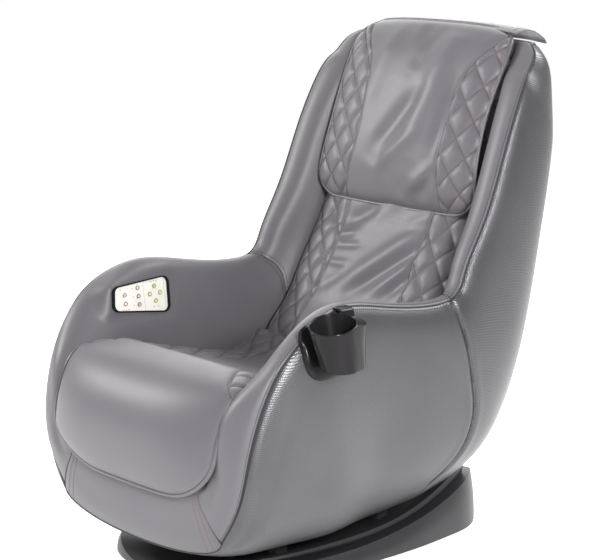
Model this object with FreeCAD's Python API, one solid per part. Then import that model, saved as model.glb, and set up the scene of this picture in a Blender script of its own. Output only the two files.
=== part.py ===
"""Lounge massage chair: a shell-shaped armchair on a low crescent base, with an L-track massage carriage.

Frame: millimetres, +Z up, the sitter faces -Y, origin at the centre of the base's floor face.
One STEP file per piece is written to parts/.
"""
import FreeCAD
import Part
import math
import os
from FreeCAD import Vector, Rotation, Placement

os.makedirs("parts", exist_ok=True)

# ---------------------------------------------------------------- driving dimensions
# Shell stations along the rim seam: rim x, y, z, then the shell's centre line y, z, then fullness.
STATIONS = [
    (259, -438, 138, -443, 84, 2.1),
    (312, -437, 226, -400, 70, 2.6),
    (330, -422, 337, -320, 58, 3.0),
    (339, -375, 459, -215, 52, 3.3),
    (346, -307, 535, -120, 51, 3.5),
    (330, -193, 579, -20, 55, 3.5),
    (325, -40, 558, 105, 66, 3.5),
    (325, 120, 549, 265, 108, 3.4),
    (323, 170, 610, 365, 200, 3.4),
    (323, 228, 713, 420, 340, 3.4),
    (320, 286, 850, 460, 540, 3.4),
    (311, 345, 965, 492, 740, 3.4),
    (300, 378, 1000, 508, 880, 3.2),
    (290, 405, 1030, 512, 970, 2.8),
    (262, 424, 1050, 500, 1030, 2.5),
]
LAST = len(STATIONS) - 1
SHOULDER = 26.0          # how far the side swells outside the rim seam
SHOULDER_RUN = 35.0      # depth over which it swells
FULL_DEPTH = 250.0       # sections deeper than this get the whole swelling
SPLIT_X = 190.0          # half width of the rear cover and the belly board
SPLIT_GAP = 0.4          # gap between those and the side covers
REAR_START = 8           # station where the belly board ends and the rear cover starts
COVER = 6.0              # padded side cover thickness
REAR_WALL = 5.0          # rear cover and belly board thickness

BOARD_X = 274.0          # inner face of the plywood side boards
BOARD = 12.0
GAP = 0.5                # clearance of upholstery round frame parts
TUBE_R = 12.0            # cross tubes between the side boards
TUBE_BORE = 9.5
TUBES = [(-370, 205), (-190, 190), (50, 208), (245, 272), (346, 442), (423, 956)]
BOLT_HEAD_R = 7.0
BOLT_R = 4.0

# L-shaped track: an arc about an axis along X
TRACK_Y = -244.0
TRACK_Z = 909.0
TRACK_R = 700.0
TRACK_START = 25.0       # degrees from straight down, carriage at rest at the lower end
TRACK_TRAVEL = 59.0
CARRIAGE_HALF = 62.0
PAD_R = 625.0            # the pads' hidden face, clear of the rollers
RAIL_X = 160.0           # open edge of the C rail
RAIL_WEB_X = 176.0
RAIL_WALL = 3.0
RAIL_GAP = 13.0          # half the channel's inner height
RAIL_END = 6.5           # degrees of rail beyond the carriage centre's travel

# Rack and pinion
MODULE = 4.0
PINION_TEETH = 12
PINION_R = MODULE * PINION_TEETH / 2
RACK_TEETH = 362
RACK_R = MODULE * RACK_TEETH / 2
TOOTH = 5.0              # tooth thickness at the pitch line; the rest of the pitch is clearance
FLANK = math.tan(math.radians(22))

# Carriage, in its own axes: X across, Y along the track, Z toward the sitter
PLATE_X = 140.0
PLATE = 3.0
SHAFT_W = 24.0
SHAFT_H = 10.0
SHAFT_R = 7.0
WHEEL_W = 52.0
WHEEL_H = TRACK_R - math.sqrt(TRACK_R ** 2 - WHEEL_W ** 2)
WHEEL_R = 12.5
WHEEL = 10.0             # wheel thickness
WHEEL_END = 173.0        # outer face of the wheels
AXLE_R = 4.0
ARM_X = 62.0
ARM_H = 30.0
ROCKER_H = 46.0
ROCKER_X = ARM_X + 6.5
ROLLER_W = 30.0
ROLLER_H = 44.0
ROLLER_R = 20.0
ROLLER_L = 26.0
NOTCH_H = 15.0           # floor of the end plates' notches under the rollers
RUN = 0.4                # running clearance of shafts in their holes

# Control panel on the inner side of the -X arm
PANEL_LEAN = 0.18        # the wall moves outward this much for each mm of height
PANEL_X = -262.0
PANEL_Z = 465.0
PANEL = [(-301, 487), (-294, 539), (-141, 548), (-146, 467)]
BUTTON_R = 4.6
BUTTON_TRAVEL = 1.2

# Cup holder on the outside of the +X arm: a round well with a closed web behind it
CUP_BASE = 485.0
CUP_TOP = 575.0          # height of the rim over the well's centre
CUP_MOUTH = (411.0, -287.0, 47.0)    # centre x, y and radius at the top
CUP_FOOT = (423.0, -279.0, 36.0)     # the same at the foot
CUP_WALL = 2.5
CUP_RISE = (-0.13, 0.16)             # slope of the rim along x and y
WEB_OUT = 14.0                       # degrees that the web's outer face turns toward the chair
WEB_CORNER = (442.0, -222.0)
WEB_BACK = -202.0        # y of its rear corner at the bracket
WEB_HOLLOW = [(380, -236), (434, -236), (434, -225), (380, -209)]    # open from below
WEB_DEPTH = 80.0
BRACKET_X = 374.0                    # face between the bracket and the cup holder

# Base
BASE_ROWS = [            # y, half width, height at the side, height in the middle
    (-411, 62, 14, 12),
    (-400, 112, 20, 18),
    (-370, 170, 32, 30),
    (-300, 222, 38, 34),
    (-180, 252, 36, 36),
    (0, 262, 42, 38),
    (120, 260, 60, 50),
    (210, 250, 80, 72),
    (300, 228, 108, 100),
    (345, 195, 112, 104),
    (380, 150, 84, 76),
    (400, 104, 38, 32),
    (407, 62, 18, 16),
]
BASE_SKIN = 4.0
BAR_X = 150.0
BAR_Z = 8.0
BAR_H = 20.0
POST_Y = (-200, 90)
POST_HALF = 15.0
POST_HOLE = 17.0
FOOT_R = 18.0
COLLAR_ROWS = [          # y, half width, underside, height
    (-300, 178, 36.5, 10), (-200, 206, 38, 11), (-60, 220, 39, 14), (60, 222, 47, 16),
    (160, 218, 67, 18), (250, 206, 94, 22), (310, 188, 110, 28),
]

SWITCH_TILT = 7.0        # the rocker switch rests tilted to off

SEAT_HALF = 250.0
BACK_HALF = 238.0
PILLOW_HALF = 228.0


# ---------------------------------------------------------------- helpers
def save(name, shape):
    """Write one piece; a group of loose solids goes in as a compound."""
    solids = shape.Solids
    result = solids[0] if len(solids) == 1 else Part.makeCompound(solids)
    result.exportStep("parts/%s.step" % name)


def mirrored(shape):
    return shape.mirror(Vector(0, 0, 0), Vector(1, 0, 0))


def spline(points, closed=False):
    curve = Part.BSplineCurve()
    curve.interpolate(Points=points, PeriodicFlag=closed)
    return curve.toShape()


def segment(a, b):
    return Part.LineSegment(a, b).toShape()


def polygon(points):
    """Closed face from corner points."""
    return Part.Face(Part.makePolygon(list(points) + [points[0]]))


def across(points, x0, x1):
    """Extrude a (y, z) polygon from x0 to x1."""
    return polygon([Vector(x0, y, z) for y, z in points]).extrude(Vector(x1 - x0, 0, 0))


def box(x0, x1, y0, y1, z0, z1):
    return Part.makeBox(x1 - x0, y1 - y0, z1 - z0, Vector(x0, y0, z0))


def rod_x(radius, x0, x1, y, z):
    return Part.makeCylinder(radius, x1 - x0, Vector(x0, y, z), Vector(1, 0, 0))


def largest(shape):
    """The main solid, without the slivers that a cut along another face leaves."""
    return max(shape.Solids, key=lambda solid: solid.Volume)


def fuse(shapes):
    result = shapes[0]
    for other in shapes[1:]:
        result = result.fuse(other)
    return result.removeSplitter()


def pad_between(slices):
    """Smooth solid lofted through outlines: [(x, visible face [(y, z), ...], hidden face [(y, z), ...])]."""
    wires = []
    for x, face, back in slices:
        shown = [Vector(x, y, z) for y, z in face]
        hidden = [Vector(x, y, z) for y, z in back]
        wires.append(Part.Wire([spline(shown), segment(shown[-1], hidden[0]),
                                spline(hidden), segment(hidden[-1], shown[0])]))
    return Part.makeLoft(wires, True, False)


# ---------------------------------------------------------------- shell surface
def station_curve(points):
    curve = Part.BSplineCurve()
    curve.interpolate(Points=points, Parameters=[float(i) for i in range(len(points))])
    return curve


RIM = station_curve([Vector(row[0], row[1], row[2]) for row in STATIONS])
BELLY = station_curve([Vector(0, row[3], row[4]) for row in STATIONS])
FULLNESS = station_curve([Vector(row[5], i, 0) for i, row in enumerate(STATIONS)])


class Section:
    """One plane section of the shell, spanned by X and the direction from the rim to the centre line."""

    def __init__(self, t):
        self.rim = RIM.value(t)
        centre = BELLY.value(t)
        line = centre - Vector(0, self.rim.y, self.rim.z)
        self.depth = line.Length
        self.down = line.normalize()
        self.full = FULLNESS.value(t).x
        self.swell = SHOULDER * min(1.0, self.depth / FULL_DEPTH)

    def half_width(self, v):
        shoulder = self.swell * (1 - math.exp(-v * self.depth / SHOULDER_RUN))
        return (self.rim.x + shoulder) * max(0.0, 1 - v ** self.full) ** (1 / self.full)

    def v_at(self, x):
        wide = self.rim.x + self.swell
        return (1 - (abs(x) / wide) ** self.full) ** (1 / self.full)

    def place(self, x, along):
        return Vector(x, self.rim.y, self.rim.z) + self.down * along

    def side_points(self, inset):
        """From the rim seam down to the split line, moved inward by inset."""
        points = []
        last = self.v_at(SPLIT_X)
        for part in (0, 0.02, 0.06, 0.12, 0.22, 0.36, 0.52, 0.68, 0.82, 0.92, 1.0):
            v = part * last
            step = 0.004
            dx = self.half_width(v + step) - self.half_width(max(0.0, v - step))
            ds = (v + step - max(0.0, v - step)) * self.depth
            size = math.hypot(dx, ds)
            points.append(self.place(self.half_width(v) - inset * ds / size,
                                     v * self.depth + inset * dx / size))
        # the edge beside the rear cover is square to it
        points[-1] = self.place(SPLIT_X + SPLIT_GAP, last * self.depth - inset)
        return points

    def rear_points(self, inset):
        points = []
        count = 10
        for i in range(count + 1):
            x = SPLIT_X * (2.0 * i / count - 1)
            points.append(self.place(x, self.v_at(x) * self.depth - inset))
        return points


def skin(sections, outline):
    """Shell piece lofted through the wall's cross sections; outline(section) gives outer and inner rows."""
    wires = []
    for section in sections:
        outer, inner = outline(section)
        wires.append(Part.Wire([
            spline(outer), segment(outer[-1], inner[-1]),
            spline(list(reversed(inner))), segment(inner[0], outer[0])]))
    return Part.makeLoft(wires, True, False)


def shell_pieces():
    every = [Section(t) for t in range(LAST + 1)]
    side = skin(every, lambda s: (s.side_points(0), s.side_points(COVER)))
    save("right_side_cover", side)
    save("left_side_cover", mirrored(side))

    def wall(section):
        return section.rear_points(0.0), section.rear_points(REAR_WALL)

    belly = skin([Section(t) for t in range(0, REAR_START + 1)], wall)
    save("belly_board", belly)

    rear = skin([Section(t) for t in range(REAR_START, LAST + 1)], wall)
    place = inlet_place()
    hole = box(-45, 41, -11, 11, -20, 20)
    hole.Placement = place
    rear = rear.cut(hole)
    save("rear_cover", rear)
    return side


def inlet_place():
    """Axes on the rear cover low down: X across, Y down the wall, Z out of the wall."""
    t = 8.6
    here = BELLY.value(t)
    along = BELLY.value(t + 0.05) - BELLY.value(t - 0.05)
    angle = math.degrees(math.atan2(along.z, along.y))
    return Placement(here, Rotation(Vector(1, 0, 0), angle + 180))


# ---------------------------------------------------------------- body frame
def side_board_outline():
    upper = []
    lower = []
    for t in (1, 2, 3, 4, 5, 6, 7, 8, 9, 10, 11, 12, 13):
        section = Section(t)
        reach = section.v_at(BOARD_X + BOARD + COVER + 4)
        upper.append(section.place(BOARD_X, 0.1 * section.depth + 10))
        lower.append(section.place(BOARD_X, (reach - 0.04) * section.depth))
    return upper, lower[1:-1]


def side_board_blank():
    """The +X side board before it is drilled."""
    upper, lower = side_board_outline()
    wire = Part.Wire([spline(upper), segment(upper[-1], lower[-1]),
                      spline(list(reversed(lower))), segment(lower[0], upper[0])])
    return Part.Face(wire).extrude(Vector(BOARD, 0, 0))


def side_board():
    board = side_board_blank()
    for y, z in TUBES:
        board = board.cut(rod_x(BOLT_R + 0.3, BOARD_X - 1, BOARD_X + BOARD + 1, y, z))
    return board


def body_frame():
    board = side_board()
    save("right_side_board", board)
    save("left_side_board", mirrored(board).cut(panel_recess()))

    tubes = []
    bolts = []
    for y, z in TUBES:
        outer = rod_x(TUBE_R, -BOARD_X, BOARD_X, y, z)
        tubes.append(outer.cut(rod_x(TUBE_BORE, -BOARD_X, BOARD_X, y, z)))
        for side in (1, -1):
            head = rod_x(BOLT_HEAD_R, BOARD_X + BOARD, BOARD_X + BOARD + 4, y, z)
            bolt = head.fuse(rod_x(BOLT_R, BOARD_X - 16, BOARD_X + BOARD, y, z)).removeSplitter()
            bolts.append(bolt if side > 0 else mirrored(bolt))
    save("cross_tubes", Part.makeCompound(tubes))
    save("frame_bolts", Part.makeCompound(bolts))

    seat_board = across([(-402, 304), (-76, 268), (-76, 280), (-402, 316)], -236, 236)
    save("seat_board", seat_board)


# ---------------------------------------------------------------- upholstery
PAD_DEPTHS = [110, 150, 160, 150, 150, 175, 200, 185, 120, 108, 100, 90, 78, 60]
PAD_FACE = [256, 258, 258, 258, 258, 258, 256, 250, 246, 244, 243, 242, 242, 242]
PAD_TOP = [258, 266, 268, 272, 278, 277, 274, 270, 262, 258, 256, 254, 252, 250]
CREST = 32.0             # the depth over which an arm pad rolls from its top to its inner wall


def table_at(table, t):
    """Linear value of a per-station table."""
    i = min(int(t), len(table) - 2)
    return table[i] + (table[i + 1] - table[i]) * (t - i)


def arm_pad_wire(t):
    section = Section(t)
    rim = section.rim
    step = 0.05
    along = RIM.value(min(t + step, LAST)) - RIM.value(max(t - step, 0))
    inward = Vector(0, along.z, -along.y).normalize()
    depth = table_at(PAD_DEPTHS, t)
    face = table_at(PAD_FACE, t)
    top = table_at(PAD_TOP, t)
    seam_x = rim.x - 3.6
    back_x = min(BOARD_X - 1.5, rim.x - 13)
    shelf = 0.1 * section.depth + 5

    def at(s, x):
        return Vector(x, rim.y, rim.z) + inward * s

    corners = []
    for degrees in (0, 30, 60, 90):
        turn = math.radians(degrees)
        corners.append(at(1.5 + CREST * (1 - math.cos(turn)), seam_x - (seam_x - top) * math.sin(turn)))
    corners += [at(0.6 * depth, face), at(depth, face), at(depth, back_x),
                at(shelf, back_x), at(shelf, rim.x - 12), at(8, rim.x - 11), at(5, rim.x - 10)]
    return Part.makePolygon(corners + [corners[0]])


def arm_pad():
    """Ruled loft of the +X pad, from just above the apron to the wing's top."""
    wires = [arm_pad_wire(i / 2.0) for i in range(1, 2 * len(PAD_DEPTHS) - 1)]
    return Part.makeLoft(wires, True, True)


def arc_points(first, last, count):
    """Points on the pads' hidden arc, by angle from straight down."""
    points = []
    for i in range(count):
        angle = math.radians(first + (last - first) * i / (count - 1))
        points.append((TRACK_Y + PAD_R * math.sin(angle), TRACK_Z - PAD_R * math.cos(angle)))
    return points


def upholstery(cover):
    # the arm pads are hollowed for the side boards, the tubes and the bolt heads
    pad = arm_pad().cut(cover).cut(side_board_blank())
    for y, z in TUBES:
        pad = pad.cut(rod_x(TUBE_R + GAP, SEAT_HALF - 20, BOARD_X, y, z))
        pad = pad.cut(rod_x(BOLT_HEAD_R + GAP, BOARD_X + BOARD, BOARD_X + BOARD + 5, y, z))
    pad = largest(pad)
    save("right_arm_pad", pad)
    save("left_arm_pad", largest(mirrored(pad).cut(panel_recess())))

    # front apron between the arm fronts, its lower edge smiling
    wires = []
    for x in (-250, -130, 0, 130, 250):
        low = 86 + 48 * (abs(x) / 259.0) ** 2.1
        front = [(-441, low + 3), (-449, low + 40), (-451, 190), (-444, 240), (-430, 290)]
        rows = [Vector(x, y, z) for y, z in front]
        rear_low = Vector(x, -414, low + 14)
        rear_high = Vector(x, -410, 290)
        wires.append(Part.Wire([spline(rows), segment(rows[-1], rear_high),
                                segment(rear_high, rear_low), segment(rear_low, rows[0])]))
    save("front_apron", Part.makeLoft(wires, True, False))

    # seat pad: a thick cushion whose front flap hangs over the apron, dished behind its crest
    under = [(-110, 300), (-250, 312), (-350, 330)]
    middle = [(-458, 196), (-490, 264), (-486, 340), (-444, 418), (-395, 452), (-343, 448), (-284, 425),
              (-224, 401), (-160, 382), (-100, 368), (-40, 360), (20, 366), (76, 388)]
    wall = [(-458, 246), (-470, 289), (-466, 340), (-420, 408), (-357, 440), (-263, 432), (-200, 412),
            (-141, 391), (-85, 376), (-23, 364), (40, 364), (72, 380)]
    slices = []
    for x in (-SEAT_HALF, -SEAT_HALF / 2, 0, SEAT_HALF / 2, SEAT_HALF):
        edge = abs(x) == SEAT_HALF
        lift = 50.0 if edge else 0.0
        drop = 12.0 if edge else 0.0
        slices.append((x, wall if edge else middle,
                       [(y, z - drop) for y, z in arc_points(31, 19, 3)] + under
                       + [(-412, 318), (-440, 262 + lift / 2), (-452, 198 + lift)]))
    save("seat_pad", pad_between(slices))

    # back pad: its hidden face clears the massage rollers
    slices = []
    for x in (-BACK_HALF, -BACK_HALF / 2, 0, BACK_HALF / 2, BACK_HALF):
        drop = 14.0 if abs(x) == BACK_HALF else 0.0
        slices.append((x, [
            (98, 396), (143 + drop, 450 - drop / 2), (200 + drop, 540), (260 + drop, 650),
            (305 + drop, 760), (342 + drop, 880), (370 + drop / 2, 990), (392, 1032)],
            [(412, 1028), (404, 980)] + arc_points(86, 36, 6)))
    save("back_pad", pad_between(slices))

    # crown of the shell between the wing tops
    slices = []
    for x in (-236, -118, 0, 118, 236):
        sag = 16.0 * (abs(x) / 236.0) ** 2
        slices.append((x, [
            (420, 996), (418, 1034 - sag), (432, 1056 - sag), (460, 1056 - sag),
            (484 - sag, 1036 - sag), (484 - sag, 1000)], [(470 - sag, 992), (430, 990)]))
    save("top_pad", pad_between(slices))

    # head pillow: hangs in front of the back pad from the crown
    slices = []
    for x in (-PILLOW_HALF, -PILLOW_HALF / 2, 0, PILLOW_HALF / 2, PILLOW_HALF):
        drop = 12.0 if abs(x) == PILLOW_HALF else 0.0
        low = 36.0 if abs(x) == PILLOW_HALF else 0.0
        slices.append((x, [
            (258 + drop, 690 + low), (250 + drop, 745), (275 + drop, 830), (307 + drop, 915),
            (337 + drop, 990), (366 + drop / 2, 1046), (398, 1077 - drop / 2)],
            [(407, 1068 - drop / 2), (384, 1030), (366, 985), (343, 900), (317, 815),
             (292, 745), (272, 692 + low)]))
    save("head_pillow", pad_between(slices))

    # leather strap that ties the pillow over the crown
    top = [(411, 1078), (440, 1081), (472, 1075), (498, 1061), (516, 1042)]
    under = [(y - 2.0, z - 3.0) for y, z in top]
    wires = []
    for x in (-232, 0, 232):
        sag = 12.0 if x else 0.0
        outer = [Vector(x, y, z - sag) for y, z in top]
        inner = [Vector(x, y, z - sag) for y, z in under]
        wires.append(Part.Wire([spline(outer), segment(outer[-1], inner[-1]),
                                spline(list(reversed(inner))), segment(inner[0], outer[0])]))
    save("pillow_strap", Part.makeLoft(wires, True, True))


# ---------------------------------------------------------------- track
def polar(x, radius, degrees):
    angle = math.radians(degrees)
    return Vector(x, TRACK_Y + radius * math.sin(angle), TRACK_Z - radius * math.cos(angle))


def revolve_profile(profile, first, last):
    """Turn an (x, radius) polygon about the track's axis between two angles."""
    face = polygon([polar(x, r, first) for x, r in profile])
    return face.revolve(Vector(0, TRACK_Y, TRACK_Z), Vector(1, 0, 0), last - first)


def track():
    first = TRACK_START - RAIL_END
    last = TRACK_START + TRACK_TRAVEL + RAIL_END
    inner = TRACK_R - RAIL_GAP
    outer = TRACK_R + RAIL_GAP
    rib_top = RACK_R - 2.6
    back = RAIL_WEB_X + RAIL_WALL
    rail = revolve_profile([
        (RAIL_X, inner - RAIL_WALL), (back, inner - RAIL_WALL), (back, outer + RAIL_WALL),
        (168, outer + RAIL_WALL), (168, rib_top), (165, rib_top), (165, outer + RAIL_WALL),
        (RAIL_X, outer + RAIL_WALL), (RAIL_X, outer), (RAIL_WEB_X, outer),
        (RAIL_WEB_X, inner), (RAIL_X, inner)], first, last)
    save("rail_right", rail)
    save("rail_left", mirrored(rail))

    tip = RACK_R - 2.5
    root = RACK_R + 4.2
    back_r = RACK_R + 10
    pitch = 360.0 / RACK_TEETH
    count = int(TRACK_TRAVEL / pitch) + 4
    points = []
    for i in range(-3, count):
        centre = TRACK_START + (i + 0.5) * pitch
        half_tip = math.degrees((TOOTH / 2 - 2.5 * FLANK) / tip)
        half_root = math.degrees((TOOTH / 2 + 4.2 * FLANK) / root)
        points.append(polar(147, root, centre - half_root))
        points.append(polar(147, tip, centre - half_tip))
        points.append(polar(147, tip, centre + half_tip))
        points.append(polar(147, root, centre + half_root))
    start = TRACK_START - 3 * pitch
    end = TRACK_START + count * pitch
    spine = [polar(147, back_r, end + (start - end) * i / 24.0) for i in range(25)]
    rack = polygon(points + spine).extrude(Vector(25, 0, 0))
    save("racks", Part.makeCompound([rack, mirrored(rack)]))


# ---------------------------------------------------------------- carriage
CARRIAGE = Placement(Vector(0, TRACK_Y + TRACK_R * math.sin(math.radians(TRACK_START)),
                            TRACK_Z - TRACK_R * math.cos(math.radians(TRACK_START))),
                     Rotation(Vector(1, 0, 0), TRACK_START))


def on_carriage(name, shape):
    moved = shape.copy()
    moved.transformShape(CARRIAGE.toMatrix())
    save(name, moved)


def pinion(x0):
    """Straight-flanked pinion with one tooth pointing away from the sitter."""
    points = []
    step = 360.0 / PINION_TEETH
    tip = PINION_R + 3.0
    root = PINION_R - 4.5
    for i in range(PINION_TEETH):
        centre = -90 + i * step
        half_root = math.degrees((TOOTH / 2 + 4.5 * FLANK * 0.55) / root)
        half_tip = math.degrees((TOOTH / 2 - 3.0 * FLANK) / tip)
        for radius, offset in ((root, -half_root), (tip, -half_tip), (tip, half_tip), (root, half_root)):
            angle = math.radians(centre + offset)
            points.append(Vector(x0, radius * math.cos(angle), radius * math.sin(angle)))
    gear = polygon(points).extrude(Vector(10, 0, 0))
    return gear.cut(hexagon_bar(6.6, x0 - 1, x0 + 11))


def hexagon_bar(radius, x0, x1):
    corners = []
    for i in range(6):
        angle = math.radians(60 * i)
        corners.append((radius * math.cos(angle), radius * math.sin(angle)))
    return across(corners, x0, x1)


def massage_arm():
    """Arm of the +X side: a barrel on a pin along the track, and a plate that holds the rocker."""
    barrel = Part.makeCylinder(6, 78, Vector(ARM_X, -39, ARM_H), Vector(0, 1, 0))
    pin = Part.makeCylinder(3, 90, Vector(ARM_X, -45, ARM_H), Vector(0, 1, 0))
    plate = box(ARM_X - 4, ARM_X + 4, -13, 13, ARM_H, ROCKER_H + 9)
    hole = rod_x(4.0 + RUN, ARM_X - 5, ARM_X + 5, 0, ROCKER_H)
    return fuse([barrel, pin, plate]).cut(hole)


def rocker():
    """Rocker of the +X side: a bent plate with a pivot pin and two roller axles."""
    x0 = ROCKER_X
    plate = across([(-38, ROLLER_H - 7), (-9, ROCKER_H - 8), (9, ROCKER_H - 8), (38, ROLLER_H - 7),
                    (38, ROLLER_H + 7), (9, ROCKER_H + 8), (-9, ROCKER_H + 8), (-38, ROLLER_H + 7)],
                   x0, x0 + 6)
    pivot = rod_x(4, ARM_X - 6, x0 + 6, 0, ROCKER_H)
    keeper = rod_x(6.5, ARM_X - 8, ARM_X - 5, 0, ROCKER_H)
    axles = []
    for w in (-ROLLER_W, ROLLER_W):
        axles.append(rod_x(4, x0 + 6, x0 + 8 + ROLLER_L, w, ROLLER_H))
    return fuse([plate, pivot, keeper] + axles)


def roller(w):
    """Barrel-shaped massage roller on a rocker axle."""
    x0 = ROCKER_X + 7
    edge = ROLLER_R - 4
    profile = Part.Wire([
        segment(Vector(x0, 4 + RUN, 0), Vector(x0, edge, 0)),
        Part.Arc(Vector(x0, edge, 0), Vector(x0 + ROLLER_L / 2, ROLLER_R, 0),
                 Vector(x0 + ROLLER_L, edge, 0)).toShape(),
        segment(Vector(x0 + ROLLER_L, edge, 0), Vector(x0 + ROLLER_L, 4 + RUN, 0)),
        segment(Vector(x0 + ROLLER_L, 4 + RUN, 0), Vector(x0, 4 + RUN, 0))])
    solid = Part.Face(profile).revolve(Vector(0, 0, 0), Vector(1, 0, 0), 360)
    solid.translate(Vector(0, w, ROLLER_H))
    return solid


def carriage():
    sides = []
    for x0 in (-PLATE_X - PLATE, PLATE_X):
        sides.append(box(x0, x0 + PLATE, -CARRIAGE_HALF, CARRIAGE_HALF, -31, 20))
    back = box(-PLATE_X, PLATE_X, -CARRIAGE_HALF, CARRIAGE_HALF, -31, -28)
    ends = []
    for w0 in (-43, 40):
        ends.append(box(-PLATE_X, PLATE_X, w0, w0 + PLATE, -28, 38))
    frame = fuse(sides + [back] + ends)
    across_holes = [(0, 0, 6.6), (WHEEL_W, WHEEL_H, AXLE_R), (-WHEEL_W, WHEEL_H, AXLE_R),
                    (SHAFT_W, SHAFT_H, 5), (-SHAFT_W, SHAFT_H, 5)]
    for w, h, radius in across_holes:
        frame = frame.cut(rod_x(radius + RUN, -PLATE_X - 5, PLATE_X + 5, w, h))
    for x in (-ARM_X, ARM_X):
        frame = frame.cut(Part.makeCylinder(3 + RUN, 100, Vector(x, -50, ARM_H), Vector(0, 1, 0)))
    for side in (-1, 1):
        # room for the rollers as they rock and swing
        notch = box(ARM_X + 6, ARM_X + 56, -50, 50, NOTCH_H, 40)
        frame = frame.cut(notch if side > 0 else mirrored(notch))
    on_carriage("carriage_frame", frame)

    on_carriage("travel_motor", fuse([
        box(-134, -60, -34, -12, -27.5, -5), rod_x(9, -60, -12, -23, -16)]))
    on_carriage("kneading_motor", fuse([
        box(60, 134, 14, 36, -27.5, -5), rod_x(9, 12, 60, 25, -16)]))
    on_carriage("tapping_motor", fuse([
        box(60, 134, -36, -14, -27.5, -5), rod_x(9, 12, 60, -25, -16)]))

    shaft = hexagon_bar(6.2, -158, 158)
    on_carriage("drive_shaft", shaft)
    on_carriage("pinions", Part.makeCompound([pinion(148), pinion(-158)]))

    for name, w in (("guide_wheels_lower", -WHEEL_W), ("guide_wheels_upper", WHEEL_W)):
        axle = [rod_x(AXLE_R, -WHEEL_END, WHEEL_END, w, WHEEL_H)]
        for x0 in (-WHEEL_END, WHEEL_END - WHEEL):
            axle.append(rod_x(WHEEL_R, x0, x0 + WHEEL, w, WHEEL_H))
        on_carriage(name, fuse(axle))

    for name, w, gear_x in (("kneading_shaft", SHAFT_W, 20), ("tapping_shaft", -SHAFT_W, -30)):
        on_carriage(name, fuse([
            rod_x(5, -146, 146, w, SHAFT_H), rod_x(SHAFT_R, -136, 136, w, SHAFT_H),
            rod_x(14, gear_x, gear_x + 10, w, SHAFT_H)]))

    arm = massage_arm()
    on_carriage("massage_arm_right", arm)
    on_carriage("massage_arm_left", mirrored(arm))
    lever = rocker()
    on_carriage("rocker_right", lever)
    on_carriage("rocker_left", mirrored(lever))
    for level, w in (("lower", -ROLLER_W), ("upper", ROLLER_W)):
        on_carriage("roller_%s_right" % level, roller(w))
        on_carriage("roller_%s_left" % level, mirrored(roller(w)))


# ---------------------------------------------------------------- control panel
PANEL_ANGLE = math.degrees(math.atan(PANEL_LEAN))
PANEL_PLACE = Placement(Vector(PANEL_X, 0, PANEL_Z), Rotation(Vector(0, 1, 0), -PANEL_ANGLE))


def panel_outline(grow):
    """The panel's rounded outline in its own plane: (y, height) with the corners cut by arcs."""
    stretch = math.sqrt(1 + PANEL_LEAN ** 2)
    corners = [Vector(0, y, (z - PANEL_Z) * stretch) for y, z in PANEL]
    centre = Vector(0, -220, 46)
    corners = [c + (c - centre).normalize() * grow for c in corners]
    return corners


def rounded(corners, radius, depth0, depth1):
    """Prism along local X from depth0 to depth1 whose corners are rounded."""
    edges = []
    count = len(corners)
    ends = []
    for i in range(count):
        here = corners[i]
        before = (corners[i - 1] - here).normalize()
        after = (corners[(i + 1) % count] - here).normalize()
        half = before.getAngle(after) / 2
        back = radius / math.tan(half)
        middle = (before + after).normalize()
        centre = here + middle * (radius / math.sin(half))
        ends.append((here + before * back, centre - middle * radius, here + after * back))
    for i in range(count):
        start, mid, stop = ends[i]
        edges.append(Part.Arc(start, mid, stop).toShape())
        edges.append(segment(stop, ends[(i + 1) % count][0]))
    face = Part.Face(Part.Wire(edges))
    face.translate(Vector(depth0, 0, 0))
    return face.extrude(Vector(depth1 - depth0, 0, 0))


def panel_recess():
    """Room for the whole panel in the arm pad and the side board."""
    block = rounded(panel_outline(1.0), 16, -13.0, 6.0)
    block.Placement = PANEL_PLACE
    return block


def button_places():
    """Name and (y, height) of each button on the face, seen by the sitter's side."""
    left = -264
    middle = -228
    right = -183
    return [
        ("button_1", left, 55), ("button_2", left, 36),
        ("button_3", middle, 66), ("button_4", middle, 48), ("button_5", middle, 30),
        ("button_6", right, 64), ("button_7", right - 14, 48),
        ("button_8", right + 14, 48), ("button_9", right, 32),
    ]


def in_panel(name, shape):
    shape.Placement = PANEL_PLACE
    save(name, shape)


def control_panel():
    outer = rounded(panel_outline(0.0), 16, -10, 4)
    window = rounded(panel_outline(-7.0), 13, 0, 5)
    hollow = rounded(panel_outline(-3.0), 14, -11, -2)
    in_panel("control_bezel", outer.cut(window).cut(hollow).cut(window_slot()))

    face = rounded(panel_outline(-8.0), 12, 0.0, 2.2)
    board = rounded(panel_outline(-6.0), 10, -9.5, -7.5)
    for _, y, h in button_places():
        face = face.cut(rod_x(BUTTON_R + RUN, -1, 4, y, h))
    in_panel("control_face", face)
    in_panel("control_board", board)
    for name, y, h in button_places():
        cap = rod_x(BUTTON_R, -0.5, 3.6, y, h)
        stem = rod_x(1.5, -6, -0.5, y, h)
        in_panel(name, cap.fuse(stem).removeSplitter())


def window_slot():
    """Openings in the bezel's floor behind the buttons."""
    holes = [rod_x(BUTTON_R + 1, -3, 1, y, h) for _, y, h in button_places()]
    return Part.makeCompound(holes)


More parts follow.
